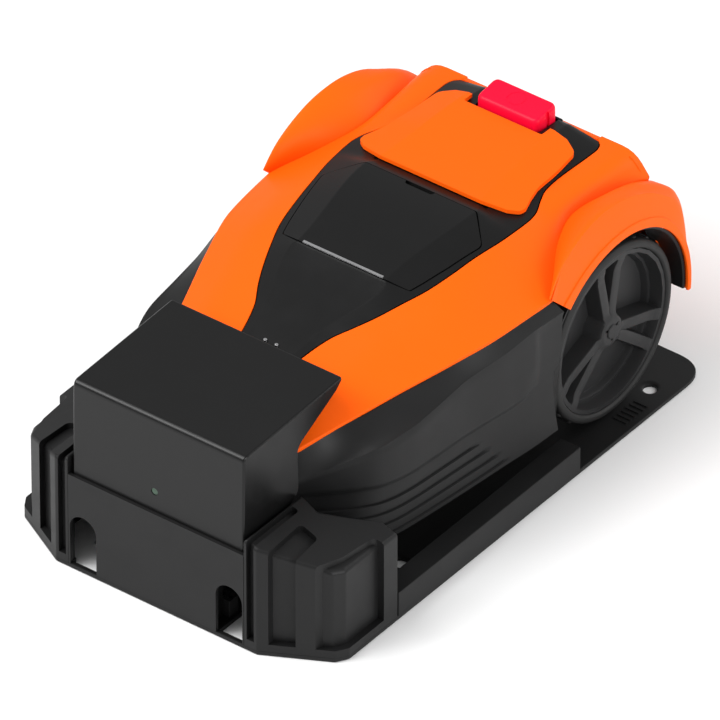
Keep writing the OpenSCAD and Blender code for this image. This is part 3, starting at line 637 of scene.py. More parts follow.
def fender(side):
    sections = []
    for angle in np.linspace(136, -6, 96):
        root_x, root, inner, outer, lip = (float(smooth(FENDER, k, angle)) for k in range(1, 6))
        root_x -= 2.5
        swell = [[0, root - 1], [0.5, inner], [0.9, outer - 1.2], [1, lip]]
        xs = [0, 0.12, 0.25, 0.38, 0.5, 0.6, 0.7, 0.78, 0.85, 0.9, 0.94, 0.97, 0.99, 1]
        top = [(mix(root_x, FENDER_X - 1.6, t), float(smooth(swell, 1, t))) for t in xs]
        top += [(FENDER_X - 0.5, lip - 0.5), (FENDER_X, lip - 1.8), (FENDER_X, ARCH_R + 1),
                (FENDER_X - 0.8, ARCH_R)]
        under = [(FENDER_X - WALL, ARCH_R), (FENDER_X - WALL, lip - WALL)]
        under += [(mix(root_x, FENDER_X, t), float(smooth(swell, 1, t)) - WALL)
                  for t in (0.85, 0.5, 0.25, 0)]
        a = math.radians(angle)
        sections.append([from_nose(side * x, AXLE_S + r * math.cos(a), AXLE_Z + r * math.sin(a))
                         for x, r in top + under])
    return loft("fender", sections)


REAR_FACE = [
    [541.5, 84, 250], [547, 126, 248], [552, 143, 226], [560, 150, 203],
    [565, 152, 172], [567, 152, 130], [566, 152, 90]]


def tail():
    heights = [250, 249.2, 247, 243, 238, 232, 226, 218, 210, 203, 194, 184, 172, 158, 144,
               130, 117, 104, 90]
    by_height = [[-z, w, s] for s, w, z in REAR_FACE]
    sections = []
    for t in np.linspace(-1, 1, 61):
        outside, inside = [], []
        for z in heights:
            s = float(smooth(by_height, 2, -z))
            w = float(smooth(by_height, 1, -z))
            s -= 12 * abs(t) ** 9 * min(1, (w - 84) / 55)
            outside.append(from_nose(w * t, s, z))
            inside.append(from_nose((w - WALL) * t, s - WALL, z - WALL * 0.4))
        lead = [from_nose(84 * t, 539.6, 249.6), from_nose(84 * t, 540.2, 250.4)]
        under = [from_nose(84 * t, 539.6, 246)]
        sections.append(lead + outside + inside[::-1] + under)
    return loft("tail", sections)


def liner(side):
    """The black inner arch, which keeps mud off the works."""
    sections = []
    for angle in np.linspace(-5, 150, 60):
        a = math.radians(angle)
        sections.append([from_nose(side * x, AXLE_S + r * math.cos(a), AXLE_Z + r * math.sin(a))
                         for x, r in ((139, 112), (177, 112.4), (178, 113.4), (178, 115.5),
                                      (139, 115.5))])
    return loft("liner", sections)


for side in (1, -1):
    combine(shell, fender(side), "UNION")
    fit(liner(side), "chassis_tub")
join(shell, tail())
fit(shell, "orange_shell", smooth=28)
print("shell:", len(shell.data.polygons), "faces")

# %% [markdown]
# ## The deck, its wells and the front lid
# The deck lies sunk between the arms. It is lofted across its whole width, then the
# lids' openings and the wells are cut, as the mould would core them out. A rim of
# half a millimetre of bevel round each opening catches the light.

# %% Deck
FRONT_LID = [[227, 55], [233, 79], [250, 84], [280, 91], [325, 99.5], [356, 69]]
CONSOLE = [[372, 63], [380, 90], [388, 101], [396, 101.5], [412, 96], [428, 92], [470, 89],
           [499, 86], [507, 70]]
STOP_S, STOP_W, STOP_L = 516, 78, 35
SEAM = 1.2
CUTTER_S = 292
CONSOLE_HINGE = from_nose(0, 376, 258.8)
GUTTER_R, GUTTER_HALF = 5.6, 71


def lid_line(table, grow, radii):
    half = [(w + grow, s) for s, w in table]
    half[0] = (half[0][0], half[0][1] - grow)
    half[-1] = (half[-1][0], half[-1][1] + grow)
    line = half + [(-x, s) for x, s in half[::-1]]
    return rounded(line, list(radii) + list(radii)[::-1], 6)


def skin(name, rows, margin, drop, thick):
    """The deck's surface as a solid sheet."""
    sections = []
    for s in rows:
        edge = float(smooth(DECK_EDGE, 1, min(s, 540))) - margin
        crease = min(float(smooth(DECK_CREASE, 1, min(s, 540))), edge - 1)
        xs = [mix(0, crease - 1.5, t) for t in (0, 0.5, 1)] + [crease]
        xs += [mix(crease + 1.5, edge, t) for t in (0, 0.35, 0.7, 1)]
        xs = [-x for x in xs[:0:-1]] + xs
        soft = [deck_z(x, min(s, 540)) for x in xs]
        top = [(x, s, z - drop) for x, z in zip(xs, soft)]
        sections.append([from_nose(*p) for p in top]
                        + [from_nose(x, y, z - thick) for x, y, z in top[::-1]])
    return loft(name, sections)


deck = skin("deck_panel", np.linspace(8, 537, 107), SEAM, 0.5, WALL)
combine(deck, prism("tool", lid_line(FRONT_LID, SEAM, (6, 4, 0, 0, 10, 8)), 200, 300))
combine(deck, block("tool", -79, 79, 389, 479, 200, 300, corner=6))
combine(deck, block("tool", -STOP_W / 2 - 1.5, STOP_W / 2 + 1.5, STOP_S - STOP_L / 2 - 1.5,
                    STOP_S + STOP_L / 2 + 1.5, 200, 300, corner=6))
trough = [(0.01, -GUTTER_HALF), (GUTTER_R, -GUTTER_HALF), (GUTTER_R, GUTTER_HALF),
          (0.01, GUTTER_HALF)]
combine(deck, turned("tool", trough, CONSOLE_HINGE, 48))
soften(deck, 0.5, 2, 50)
print("deck:", len(deck.data.polygons), "faces")


# %% [markdown]
# Under the lids the deck has open-topped wells, one for the cutting height knob, one
# for the keys and one for the stop button, and a ledge that the front lid rests on.

# %% Wells and ledge
def well(x, s0, s1, floor_z, top_z, bore=0.0):
    outer = block("deck_well", -x, x, s0, s1, floor_z, top_z, corner=4)
    combine(outer, block("tool", -x + WALL, x - WALL, s0 + WALL, s1 - WALL, floor_z + WALL,
                         top_z + 50, corner=3))
    if bore:
        tube = [(0.01, 0), (bore, 0), (bore, 40), (0.01, 40)]
        cx, cy, cz = from_nose(0, CUTTER_S, floor_z - 20)
        combine(outer, turned("tool", tube, (cx, cy, cz), 48, "z"))
    return soften(outer, 0.5, 2, 40)


ledge = skin("deck_ledge", np.linspace(238, 366, 33), 4.5, 4.0, 2)
combine(ledge, block("tool", -59, 59, 243, 341, 200, 300, corner=4))
join(ledge, skin("gutter", np.linspace(219, 240, 7), 4.5, 8.2, 2),
     skin("step", np.linspace(238, 240.5, 3), 4.5, 4.0, 6.2),
     skin("step", np.linspace(219, 225.6, 3), 4.5, 0.6, 9.6))
PIPE_IN, PIPE_OUT, PIPE_HALF = GUTTER_R + 0.4, GUTTER_R + 2, GUTTER_HALF + 2
trough_wall = [(PIPE_IN, -PIPE_HALF), (PIPE_OUT, -PIPE_HALF), (PIPE_OUT, PIPE_HALF),
               (PIPE_IN, PIPE_HALF)]
pipe = turned("pipe", trough_wall, CONSOLE_HINGE, 48)
combine(pipe, block("tool", -90, 90, 360, 395, 254.4, 300))
join(ledge, pipe)
soften(ledge, 0.3, 1, 50)
wells = [well(62, 240, 344, 208, deck_z(0, 240) - 5, 5.55), well(82, 386, 482, 227, 249),
         well(STOP_W / 2 + WALL + 1.5, STOP_S - STOP_L / 2 - WALL - 1.5,
              STOP_S + STOP_L / 2 + WALL + 1.5, 238, 257)]
for piece in [ledge] + wells:
    fit(piece, "deck_panel")
fit(deck, "deck_panel")
print(len(wells), "wells")

# %% [markdown]
# The front lid is a thin moulding with five facets, which lifts at its rear edge,
# where a shallow notch takes a finger. A narrow strip of the steel finish along its
# front edge is a painted highlight: it stands in for the light its rounded edge catches.

# %% Front lid
LID_T = 3.5
lid = skin("front_lid", np.linspace(220, 362, 48), 0, 0, LID_T)
combine(lid, prism("tool", lid_line(FRONT_LID, 0, (6, 4, 0, 0, 10, 8)), 200, 300), "INTERSECT")
notch = rounded([(-20, 366), (-17, 351.5), (17, 351.5), (20, 366)], 4)
combine(lid, prism("tool", notch, 200, 300))
soften(lid, 0.9, 3, 50)
fit(lid, "front_lid", smooth=30)
# Painted highlight: a thin bright steel strip on the lid's front edge stands in for the light
# that the rounded edge catches.
painted_highlight_strip = [[from_nose(x, y, deck_z(x, y) + rise) for y, rise in
         ((227.1, -1.6), (226.9, -0.6), (227.3, 0.15), (229.6, 0.25), (229.8, -1.6))]
        for x in np.linspace(-50, 50, 11)]
edge = fit(loft("front_lid_painted_highlight", painted_highlight_strip), "front_lid", finish="steel")
edge.name = "front_lid_painted_highlight"
print("front lid:", len(lid.data.polygons), "faces")

# %% [markdown]
# ## The console lid and the stop button
# The console lid stands proud of the deck by its own thickness. Its waist and the
# notch round the stop button are part of one outline. The stop button is a soft
# cushion shape with a shallow relief on top, and a slot in each end for its guide.


# %% Console lid
def proud(name, rows, rise, thick):
    sections = []
    for s in rows:
        edge = float(smooth(DECK_EDGE, 1, s))
        crease = float(smooth(DECK_CREASE, 1, s))
        xs = [0, crease * 0.5, crease - 2, crease, crease + 2] + \
            [mix(crease, edge, t) for t in (0.35, 0.7, 1)]
        xs = [-x for x in xs[:0:-1]] + xs
        top = [(x, s, deck_z(x, s) + rise) for x in xs]
        sections.append([from_nose(*p) for p in top]
                        + [from_nose(x, y, z - thick) for x, y, z in top[::-1]])
    return loft(name, sections)


console = proud("console_lid", np.linspace(366, 514, 50), 5, 4.5)
combine(console, prism("tool", lid_line(CONSOLE, 0, (4, 8, 9, 6, 8, 8, 6, 10, 6)), 200, 300),
        "INTERSECT")
gap = rounded([(-49, 560), (-49, 492.5), (49, 492.5), (49, 560)], 2.5)
combine(console, prism("tool", gap, 200, 300))
soften(console, 1.6, 4, 50)
fit(console, "console_lid", smooth=30)
print("console lid:", len(console.data.polygons), "faces")

# %% [markdown]
# The button's top rises towards the rear. Its eight-sided relief is cut by a loft
# that follows the top, so the cut has the same depth everywhere.

# %% Stop button
def cushion(x, y, radius, z, inset):
    line = [(-x + inset, -y + inset), (x - inset, -y + inset), (x - inset, y - inset),
            (-x + inset, y - inset)]
    return [(px, py, z) for px, py in rounded(line, max(radius - inset, 1), 8)]


TILT = math.tan(math.radians(8))
levels = [(252, 0), (256, 0), (262, 0), (267, 0), (270.5, 0.3), (272.5, 1.2), (273.6, 2.6),
          (274, 4.2)]
sections = []
for z, inset in levels:
    lift = (z - 252) / 22
    ring = cushion(STOP_W / 2, STOP_L / 2, 8, z, inset)
    sections.append([from_nose(x, STOP_S + y, z + lift * TILT * (y + STOP_L / 2) * 0.9)
                     for x, y, _ in ring])
button = loft("stop_button", sections)
for x in (-1, 1):
    combine(button, block("tool", x * (STOP_W / 2 - 1) - 1.2, x * (STOP_W / 2 - 1) + 2,
                          STOP_S - 2, STOP_S + 3, 240, 300))
mark = []
for k in range(8):
    a = math.pi / 8 + k * math.pi / 4
    mark.append((11 * math.cos(a), STOP_S + 11 * math.sin(a)))
inner_mark = [(x * 0.78, STOP_S + (y - STOP_S) * 0.78) for x, y in mark]
relief = prism("tool", mark, 270, 290)
combine(relief, prism("tool", inner_mark, 260, 300))
cutter_low = [[(x, y, z - 0.35) for x, y, z in sections[-1]],
              [(x, y, z + 20) for x, y, z in sections[-1]]]
combine(relief, loft("tool", cutter_low), "INTERSECT")
combine(button, relief)
soften(button, 0.4, 2, 45)
fit(button, "stop_button", smooth=40)
print("stop button:", len(button.data.polygons), "faces")

# %% [markdown]
# ## The skirt
# The black skirt hangs round the nose and both flanks. It is one long wall: sections
# from top to bottom are placed along a plan curve. A shelf at the top curls under the
# shell's edge, a large panel stands proud on each flank, and four grooves run round
# the nose just above the bottom edge, each ending further back than the one above.

# %% Skirt
# [bottom x, y, shoulder x, y, z, top x, y, z]
SKIRT = [
    [0, 2, 0, 3, 128, 0, 8, 155], [50, 3, 50, 4, 128, 48, 9, 155],
    [80, 7, 79, 8, 130, 72, 12, 156], [94, 15, 93, 16, 132, 84, 18, 162],
    [108, 30, 105, 30, 136, 96, 30, 170], [128, 46, 122, 48, 146, 103, 48, 174],
    [147, 68, 141, 70, 155, 109, 68, 177], [158, 88, 156, 90, 163, 115, 88, 179],
    [164, 108, 164, 112, 169, 123, 112, 182], [168, 134, 168, 135, 172, 130, 135, 186],
    [172, 167, 169, 168, 176, 142, 168, 191], [176, 203, 170, 203, 181, 153, 203, 196],
    [182, 264, 179, 264, 187, 170, 264, 204], [186.5, 307, 183, 307, 192, 175, 307, 206],
    [188, 340, 185, 350, 190, 176.5, 341, 206]]
SKIRT_ROWS = [[i] + row for i, row in enumerate(SKIRT)]
SKIRT_BOTTOM, PANEL_LINE, PANEL_END = 50, 122, 305
FLAT_TOP = 124
GROOVES = [(97, 216), (83, 231), (69, 244), (56.5, 256)]


def ease(t):
    t = min(max(t, 0), 1)
    return t * t * (3 - 2 * t)


def sunk(s, z):
    """How far the skirt's face lies behind its proud panel."""
    corner = 28
    dz = PANEL_LINE + corner - z
    ds = s - (PANEL_END - corner)
    if dz > 0 and ds > 0:
        beyond = math.hypot(dz, ds) - corner
    else:
        beyond = max(dz, ds) - corner
    depth = 2.6 * ease(beyond / 9)
    for middle, end in GROOVES:
        across = max(0.0, abs(z - middle) - 1.7) / 1.0
        along = max(0.0, s - end - (middle - z) * 0.8) / 2.5
        depth += 2.4 * (1 - ease(across)) * (1 - ease(along))
    return depth


def skirt_heights():
    zs = [SKIRT_BOTTOM, SKIRT_BOTTOM + 0.8]
    for middle, _ in sorted(GROOVES):
        zs += [middle - 2.7, middle - 2.2, middle - 1.7, middle, middle + 1.7, middle + 2.2,
               middle + 2.7]
    return zs + [103, 107, 110, 112, 114, 116, 118, 120, 122, FLAT_TOP]


def skirt_point(u, k):
    return float(smooth(SKIRT_ROWS, k + 1, u))


def skirt_section(u, normal):
    bx, by, sx, sy, sz, tx, ty, tz = (skirt_point(u, k) for k in range(8))
    wall = []
    for z in skirt_heights():
        t = (z - SKIRT_BOTTOM) / (sz - SKIRT_BOTTOM)
        x = mix(bx, sx, t)
        y = mix(by, sy, t)
        if u > 12.5:
            y += -12 * ease(u - 12.9) * math.sin(math.pi * min(max(t, 0), 1))
        wall.append(np.array([x, y, z]))
    flat = (FLAT_TOP - SKIRT_BOTTOM) / (sz - SKIRT_BOTTOM)
    for t in (0.2, 0.4, 0.6, 0.8, 0.92):
        wall.append(np.array([mix(mix(bx, sx, flat), sx, t), mix(mix(by, sy, flat), sy, t),
                              mix(FLAT_TOP, sz, t)]))
    shoulder = np.array([sx, sy, sz])
    top = np.array([tx, ty, tz])
    wall.append(shoulder + (top - shoulder) * 0.05 + np.array([0, 0, 0.6]))
    for t in (0.16, 0.32, 0.5, 0.7, 0.88, 1):
        dip = 3.2 * math.sin(math.pi * t) * (1 - ease((u - 7) / 3))
        wall.append(shoulder + (top - shoulder) * t - np.array([0, 0, dip]))
    outside = [p - normal * sunk(p[1] if p[0] > 60 else 0, p[2]) if p[2] < sz else p
               for p in wall]
    inside = [p - normal * (WALL + 2.6) for p in wall]
    return outside + inside[::-1]


def skirt_half():
    us = np.concatenate([np.linspace(0, 9, 73), np.linspace(9.15, 14, 49)])
    halves = []
    for u in us:
        a, b = max(u - 0.05, 0), min(u + 0.05, 14)
        ahead = np.array([skirt_point(b, 0) - skirt_point(a, 0),
                          skirt_point(b, 1) - skirt_point(a, 1), 0])
        ahead /= max(np.linalg.norm(ahead), 1e-6)
        normal = np.array([ahead[1], -ahead[0], 0])
        halves.append(skirt_section(u, normal))
    return halves


half = skirt_half()
whole = [[(-p[0], p[1], p[2]) for p in section] for section in half[:0:-1]] + half
skirt = loft("skirt", [[from_nose(*p) for p in section] for section in whole])
fit(skirt, "skirt", smooth=32)
print("skirt:", len(skirt.data.polygons), "faces")

# %% [markdown]
# ## Wheels
# The rim is one moulding: three pairs of spokes stand on a solid web inside a deep
# ring. Its front is a polar grid whose columns follow the spokes' sides, so the edges
# stay crisp with few faces. The tyre is turned, and its tread carries rubber blocks.

# %% Rim
RIM_R, TREAD_R, TYRE_W, HUB_R = 90.2, 100.0, 40, 17
SPOKE_HALF, SPOKE_SPLAY = 6.2, math.radians(11.5)


def rim_columns(r):
    """Half of one sector as (angle, how far down the face lies, 0 spoke to 1 web)."""
    spread = r * math.sin(SPOKE_SPLAY)
    inner = max(spread - SPOKE_HALF, 0.02)
    outer = spread + SPOKE_HALF
    slope = 1.6
    sides = [(0, 1), (max(inner - slope, 0.01), 1), (inner, 0.06), (inner + 1, 0),
             (spread, -0.03), (outer - 1, 0), (outer, 0.06), (outer + slope, 1)]
    angles = [(math.asin(min(w / r, 0.95)), d) for w, d in sides]
    last = angles[-1][0]
    return angles + [(mix(last, math.pi / 3, t), 1) for t in (0.12, 0.35, 0.65, 1)]


def rim_depth(r, down, pair):
    """Depth of the face below the wheel's outer plane."""
    floor_depth = 20 if pair else 24
    steps = [[0, 3], [14, 3], [17, 4], [24, 6], [70, 6], [82, 3]]
    spoke = float(smooth(steps, 1, r))
    ring = 1 - ease((r - 76.5) / 3) * 0.35 - ease((r - 82.5) / 3) * 0.65
    hub = ease((r - HUB_R) / 5)
    return mix(spoke, mix(floor_depth, 3, 1 - ring * hub), max(down, 0)) + min(down, 0) * 8


def rim(side):
    radii = [6.4, 8, 11, 14, 15.5, 17, 18.5, 20, 22, 25, 29, 34, 40, 47, 54, 60, 66, 71,
             76.5, 77.5, 78.5, 79.5, 82.5, 83.5, 84.5, 85.5, 88.6, RIM_R - 0.3]
    cx, cy, cz = from_nose(WHEEL_X, AXLE_S, AXLE_Z)
    rows = []
    for r in radii:
        ring = []
        for sector in range(3):
            base = math.radians(120 * sector + 91)
            columns = rim_columns(r)
            turn = [(-a, d) for a, d in columns[:0:-1]][1:] + columns
            for a, d in turn:
                pair = abs(a) < math.asin(min(r * math.sin(SPOKE_SPLAY) / r, 1))
                depth = rim_depth(r, d if r > HUB_R + 0.1 else 0, pair)
                angle = base + a
                ring.append((side * (cx - depth), cy + r * math.cos(angle),
                             cz + r * math.sin(angle)))
        rows.append(ring)
    behind = [(RIM_R - 0.3, 4), (RIM_R - 0.3, 37), (RIM_R - 6, 38), (RIM_R - 9, 34),
              (RIM_R - 9, 31), (HUB_R, 31), (HUB_R, 39.5), (6.4, 39.5)]
    for r, depth in behind:
        rows.append([(side * (cx - depth), cy + r * math.cos(math.atan2(z - cz, y - cy)),
                      cz + r * math.sin(math.atan2(z - cz, y - cy))) for _, y, z in rows[14]])
    rows.append(rows[0])
    return loft("rim_left" if side > 0 else "rim_right", rows, caps=False)

# %% [markdown]
# The tyre's flanks are smooth, with a fine seam where they meet the rim. Two rows of
# rubber lugs grip the lawn, and a cap closes the hub over the axle.

# %% Tyre and hub cap
def tyre(side):
    cx, cy, cz = from_nose(WHEEL_X, AXLE_S, AXLE_Z)
    half = [(RIM_R, -3.5), (RIM_R + 0.4, -2.6), (RIM_R + 1.4, -0.8), (RIM_R + 3, -0.3),
            (TREAD_R - 4, -0.6), (TREAD_R - 1.6, -1.8), (TREAD_R - 0.5, -3.4), (TREAD_R, -5.5)]
    line = half + [(r, -TYRE_W - h) for r, h in half[::-1]]
    pieces = [turned("tyre", [(r, side * h) for r, h in line], (side * cx, cy, cz), 144)]
    for k in range(24):
        a = math.radians(15 * k + 7.5)
        for lane, shift in ((-13, -0.5), (-27, 0.5)):
            turn = a + math.radians(shift * 4)
            c, s = math.cos(turn), math.sin(turn)
            ring = rounded([(-3, lane - 6), (3, lane - 6), (3, lane + 6), (-3, lane + 6)], 1.2, 2)
            sections = []
            for r, grow in ((TREAD_R - 2, 1.0), (TREAD_R + 1.2, 1.0), (TREAD_R + 2.1, 0.82)):
                sections.append([(side * (cx + mix(lane, h, grow)),
                                  cy + r * c - t * grow * s, cz + r * s + t * grow * c)
                                 for t, h in ring])
            pieces.append(loft("lug", sections))
    return join(*pieces)


for side, hand in ((1, "left"), (-1, "right")):
    fit(tyre(side), "tyre_" + hand, smooth=50)
    wheel = fit(rim(side), "rim_" + hand, smooth=40)
    axle_end = max(abs(corner.x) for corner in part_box("axle_" + hand)) / MM
    cap = [(0.01, 0), (0.01, 0.4), (7.2, 0.4), (8, -0.6), (8, -2), (6.3, -2), (6.3, 0)]
    hub_cap = turned("cap", [(r, side * h) for r, h in cap],
                     from_nose(side * (axle_end + 0.1), AXLE_S, AXLE_Z), 48)
    fit(hub_cap, "rim_" + hand)
print("wheels:", len(wheel.data.polygons), "faces in a rim")

# %% [markdown]
# ## The station's hood
# The hood is a thin shell that overhangs the mower's nose. It is lofted across the
# mower as slices of its side profile, drawn in at both ends so that the corners are
# round, with a hollow of the wall's thickness that is open to the back and below.

# %% Hood
HOOD_W, HOOD_H, HOOD_WALL, SPLIT = 214, 236, 4, 116


def slab(name, line, half, radius, edge):
    """A plate across X with a rounded outline and a soft edge at both ends."""
    sections = []
    ends = [(0, edge), (0.3, edge * 0.45), (0.65, edge * 0.12), (1, 0)]
    middle = Vector((sum(p[0] for p in line) / len(line), sum(p[1] for p in line) / len(line)))
    stations = [(-half + edge * t, inset) for t, inset in ends]
    stations += [(half - edge * t, inset) for t, inset in ends[::-1]]
    for x, inset in stations:
        ring = []
        for p in rounded(line, radius, 5):
            to = Vector(p) - middle
            q = middle + to * (1 - inset / max(to.length, 1))
            ring.append(from_front(x, q.x, q.y))
        sections.append(ring)
    return loft(name, sections)


side_line = [(4, SPLIT), (6, HOOD_H - 6), (167, HOOD_H), (157, HOOD_H - 9), (94, HOOD_H - 41),
             (94, 135), (60, SPLIT)]
hood = slab("hood", side_line, HOOD_W / 2, [0, 7, 1.5, 10, 14, 14, 0], 2.5)
hollow = [(4 + HOOD_WALL, SPLIT - 1), (6 + HOOD_WALL, HOOD_H - 6 - HOOD_WALL),
          (176, HOOD_H - HOOD_WALL), (176, 106), (60, SPLIT - 1)]
inner = HOOD_W / 2 - HOOD_WALL
combine(hood, loft("tool", [[from_front(x, y, z) for y, z in hollow] for x in (-inner, inner)]))
cx, cy, cz = from_front(-4, -1, 140)
bore = [(0.01, 0), (4.1, 0), (4.1, 20), (0.01, 20)]
hole = [[(cx + r * math.cos(a), cy + h, cz + r * math.sin(a)) for r, h in bore]
        for a in np.linspace(0, 2 * math.pi, 33)[:-1]]
combine(hood, loft("tool", hole, ring=True))
soften(hood, 0.5, 2, 50)
fit(hood, "hood", smooth=30)
print("hood:", len(hood.data.polygons), "faces")

# %% [markdown]
# ## Towers
# A tower is a solid guide with wide pockets between its ribs. We bevel the outer
# block, cut the pockets through its front, side and top, and put back an inner block
# that is smaller all round, so every pocket gets a raised and rounded floor.

# %% Towers
TOWER_IN = HOOD_W / 2 + 3
TOWER_LOW, TOWER_HIGH = 109, 136
SLOPE = (TOWER_HIGH - TOWER_LOW) / (HALF_W - TOWER_IN)


def tower_solid(name, line, drop, foot, edge, radius):
    """A prism with a top that slopes down to the outside, rounded along its rim."""
    sections = []
    ring = rounded(line, radius, 4)
    middle = Vector((sum(p[0] for p in ring) / len(ring), sum(p[1] for p in ring) / len(ring)))
    for t, inset in ((None, 0), (1, 0), (0.62, 0.12), (0.3, 0.4), (0.1, 0.72), (0, 1.15)):
        section = []
        for x, y in ring:
            to = Vector((x, y)) - middle
            q = middle + to * (1 - inset * edge / to.length)
            top = TOWER_HIGH - SLOPE * (q.x - TOWER_IN) - drop
            section.append(from_front(q.x, q.y, foot if t is None else top - edge * t))
        sections.append(section)
    return loft(name, sections)


def tower():
    out = HALF_W
    line = [(TOWER_IN, 0), (TOWER_IN + 16, 0), (out - 8, 37), (out, 50), (out, 129),
            (out - 19, 130), (out - 44, 109), (out - 70, 89), (TOWER_IN, 93)]
    radii = [1, 5, 7, 7, 2, 2, 0, 0, 2]
    body = tower_solid("guide_tower_left", line, 0, PLATE_T, 4, radii)
    chamfer = Vector((out - 8 - TOWER_IN - 16, 37)).normalized()
    corner = Vector((TOWER_IN + 16, 0))
    normal = Vector((chamfer.y, -chamfer.x))

    straight = [(TOWER_IN + 3.5, -8), (TOWER_IN + 12.5, -8), (TOWER_IN + 12.5, 74),
                (TOWER_IN + 3.5, 74)]
    middle = [tuple(corner + chamfer * 5 + normal * 14),
              tuple(corner + chamfer * 33 + normal * 14),
              (TOWER_IN + 47, 60), (TOWER_IN + 24, 62)]
    outer_bay = [tuple(corner + chamfer * 45 + normal * 14), (out + 12, 34), (out + 12, 106),
                 (out - 12, 106), (out - 16, 60)]
    for pocket, radius in ((straight, [0, 0, 4, 4]), (middle, [0, 0, 6, 6]),
                           (outer_bay, [0, 0, 4, 8, 6])):
        combine(body, prism("tool", rounded(pocket, radius, 4), 14, 160, from_front))
    core = [(TOWER_IN + 0.6, 7), (TOWER_IN + 13, 7), (out - 14, 41), (out - 7.5, 54),
            (out - 7.5, 122), (out - 19, 123), (out - 44, 104), (out - 68, 84),
            (TOWER_IN + 0.6, 88)]
    inner_block = tower_solid("tool", core, 7, PLATE_T + 1, 4, [1, 5, 7, 7, 2, 2, 0, 0, 2])
    combine(body, inner_block, "UNION")
    hollow_line = [(TOWER_IN - 1, 10), (TOWER_IN + 14, 10), (TOWER_IN + 40, 28),
                   (TOWER_IN + 40, 75), (TOWER_IN - 1, 75)]
    combine(body, prism("tool", hollow_line, PLATE_T - 1, PLATE_T + 55, from_front))
    return soften(body, 0.8, 2, 40)


left_tower = tower()
right_tower = left_tower.copy()
right_tower.data = left_tower.data.copy()
right_tower.name = "guide_tower_right"
for vertex in right_tower.data.vertices:
    vertex.co.x *= -1
right_tower.data.flip_normals()
bpy.context.scene.collection.objects.link(right_tower)
fit(left_tower, "guide_tower_left", smooth=40)
fit(right_tower, "guide_tower_right", smooth=40)
print("tower:", len(left_tower.data.polygons), "faces")

# %% [markdown]
# ## The floor plate and the front panel
# The plate is a thin tray with two curbs that guide the wheels. Its corners are arcs,
# its four holes are countersunk for pegs, and ribs under each wheel give grip.

# %% Base plate
PEGS = [(HALF_W - 26, PLATE_L - 63.5), (HALF_W - 52.5, 202)]
CURB_W, CURB_H = 25, 28
GRIP_IN, GRIP_OUT, GRIP_START = 178, 195.5, 78 + AXLE_S - 6


def plate_line(inset=0.0):
    half = [(TOWER_IN + 16, inset), (HALF_W - 8 - inset, 37), (HALF_W - inset, 50),
            (HALF_W - inset, PLATE_L - inset)]
    return rounded(half + [(-x, y) for x, y in half[::-1]], [6, 6, 8, 36, 36, 8, 6, 6], 10)


plate = loft("base_plate", [[from_front(x, y, z) for x, y in plate_line(inset)]
                            for z, inset in ((0, 0.8), (0.8, 0), (PLATE_T - 1, 0),
                                             (PLATE_T - 0.3, 0.3), (PLATE_T, 1))])
for x, y in PEGS:
    for side in (-1, 1):
        profile_line = [(0.01, -2), (7.5, -2), (7.5, 2.5), (12, 5.2), (12, 9), (0.01, 9)]
        combine(plate, turned("tool", profile_line, from_front(side * x, y, 0), 48, "z"))
OPEN_LINE = [(76, 5), (TOWER_IN - 1, 5), (TOWER_IN - 1, 11), (TOWER_IN + 13.5, 11),
             (TOWER_IN + 39, 29), (TOWER_IN + 39, 74), (76, 74)]
for side in (-1, 1):
    combine(plate, prism("tool", [(side * x, y) for x, y in OPEN_LINE], -5, 12, from_front))
    edges = ((PLATE_T - 1, 0), (PLATE_T + CURB_H - 1.2, 0), (PLATE_T + CURB_H - 0.3, 0.5),
             (PLATE_T + CURB_H, 1.5))
    rows = []
    for z, inset in edges:
        ring = rounded([(side * (HALF_W - CURB_W) + side * inset, 130.3),
                        (side * (HALF_W - inset), 130.3), (side * (HALF_W - inset), 432 - inset),
                        (side * (HALF_W - CURB_W) + side * inset, 432 - inset)], 1.2, 3)
        rows.append([from_front(x, y, z) for x, y in ring])
    combine(plate, loft("tool", rows), "UNION")
    for k in range(6):
        y = GRIP_START + 7 * k
        ends = sorted((side * GRIP_IN, side * GRIP_OUT))
        rib = block("tool", *ends, y, y + 3, PLATE_T - 1, PLATE_T + 1.2, from_front, 1)
        combine(plate, rib, "UNION")
soften(plate, 0.4, 2, 50)
fit(plate, "base_plate", smooth=40)
print("plate:", len(plate.data.polygons), "faces")

# %% [markdown]
# The front panel closes the station below the hood. Its two arches let the boundary
# wire in, and two ribs stiffen it from behind.

# %% Front panel
PANEL_GAP = 0.15
PANEL_HALF = TOWER_IN - PANEL_GAP
RIB_X, RIB_HALF = 60, 4
panel = block("front_panel", -PANEL_HALF, PANEL_HALF, 0, HOOD_WALL, PLATE_T, SPLIT - PANEL_GAP,
              from_front)
ARCH_X, ARCH_W, ARCH_H = HOOD_W / 2 - 15.5, 33, 69
for side in (-1, 1):
    arch = [(side * ARCH_X - ARCH_W / 2, 0), (side * ARCH_X - ARCH_W / 2, ARCH_H - ARCH_W / 2)]
    arch += [(side * ARCH_X - ARCH_W / 2 * math.cos(a), ARCH_H - ARCH_W / 2
              + ARCH_W / 2 * math.sin(a)) for a in np.linspace(0.15, math.pi - 0.15, 15)]
    arch += [(side * ARCH_X + ARCH_W / 2, ARCH_H - ARCH_W / 2), (side * ARCH_X + ARCH_W / 2, 0)]
    combine(panel, loft("tool", [[from_front(x, y, z) for x, z in arch] for y in (-5, 9)]))
    rib = block("tool", side * RIB_X - RIB_HALF, side * RIB_X + RIB_HALF, HOOD_WALL - 1, 26,
                PLATE_T, 75, from_front, 1)
    combine(panel, rib, "UNION")
soften(panel, 0.6, 2, 40)
fit(panel, "front_panel", smooth=40)
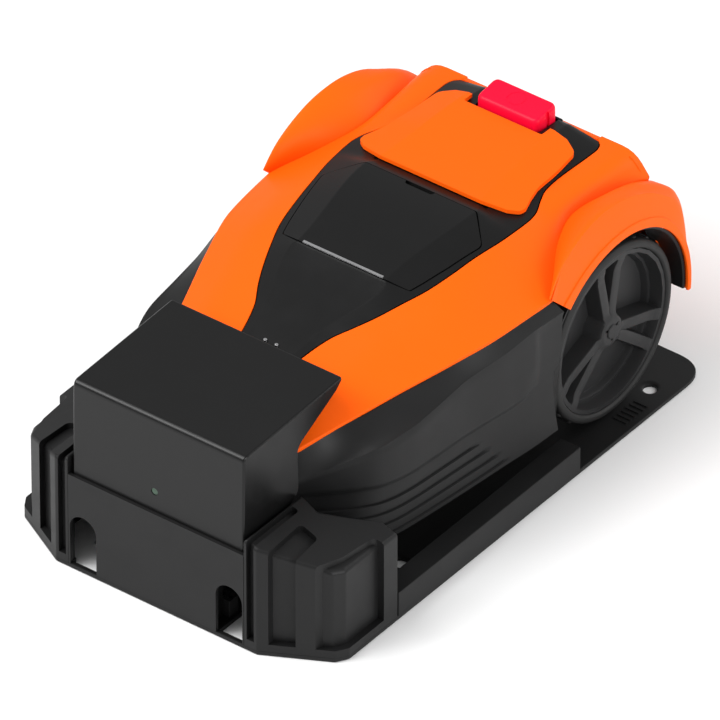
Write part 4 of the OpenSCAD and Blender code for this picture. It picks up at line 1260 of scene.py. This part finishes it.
print("front panel:", len(panel.data.polygons), "faces")

# %% [markdown]
# ## Pieces that keep their engineering shape
# Most inner pieces are plain in life too: boxes, shafts, boards, screws. Each is
# copied from its node, its flat faces are merged, and every sharp edge gets a small
# bevel, as moulded and turned pieces have.


# %% Bench pieces
def bench(node, width):
    source = frame["nodes"][node].data
    work = bmesh.new()
    work.from_mesh(source)
    bmesh.ops.remove_doubles(work, verts=work.verts, dist=0.00001)
    bmesh.ops.dissolve_limit(work, angle_limit=math.radians(0.5), verts=work.verts,
                             edges=work.edges)
    mesh = bpy.data.meshes.new(node + "_piece")
    work.to_mesh(mesh)
    work.free()
    piece = bpy.data.objects.new(node + "_piece", mesh)
    bpy.context.scene.collection.objects.link(piece)
    soften(piece, width, 2, 32)
    return fit(piece, node)


WIDTHS = {
    "contact_carrier": 1.0, "station_board": 0.2, "wire_terminals": 0.4, "wire_peg": 0.3,
    "chassis_tub": 1.0, "chassis_cover": 0.5, "battery_pack": 1.5, "main_board": 0.2,
    "gearmotor_left": 1.0, "gearmotor_right": 1.0, "charge_strips": 0.3, "control_panel": 0.4,
    "display": 0.3, "power_switch": 0.4, "stop_switch": 0.3, "height_knob": 1.0,
    "cutter_carriage": 0.8, "cutter_motor": 0.8, "blade_disc": 0.6, "blade_a": 0.2,
    "blade_b": 0.2, "blade_c": 0.2, "caster_fork_left": 0.8, "caster_fork_right": 0.8,
    "caster_wheel_left": 1.6, "caster_wheel_right": 1.6, "cushion_mounts": 1.2,
    "key_start": 0.6, "key_home": 0.6, "key_up": 0.6, "key_down": 0.6,
    "charge_contact_left": 0.3, "charge_contact_right": 0.3, "status_light": 0.6,
    "station_screws": 0.3, "cover_screws": 0.3, "blade_screws": 0.4, "rain_pins": 0.4,
    "hinge_pins": 0.2, "axle_left": 0.5, "axle_right": 0.5}
for node, width in WIDTHS.items():
    bench(node, width)
left_over = [n for n, o in frame["nodes"].items() if not o.hide_render]
print(len(WIDTHS), "bench pieces; still plain:", left_over)
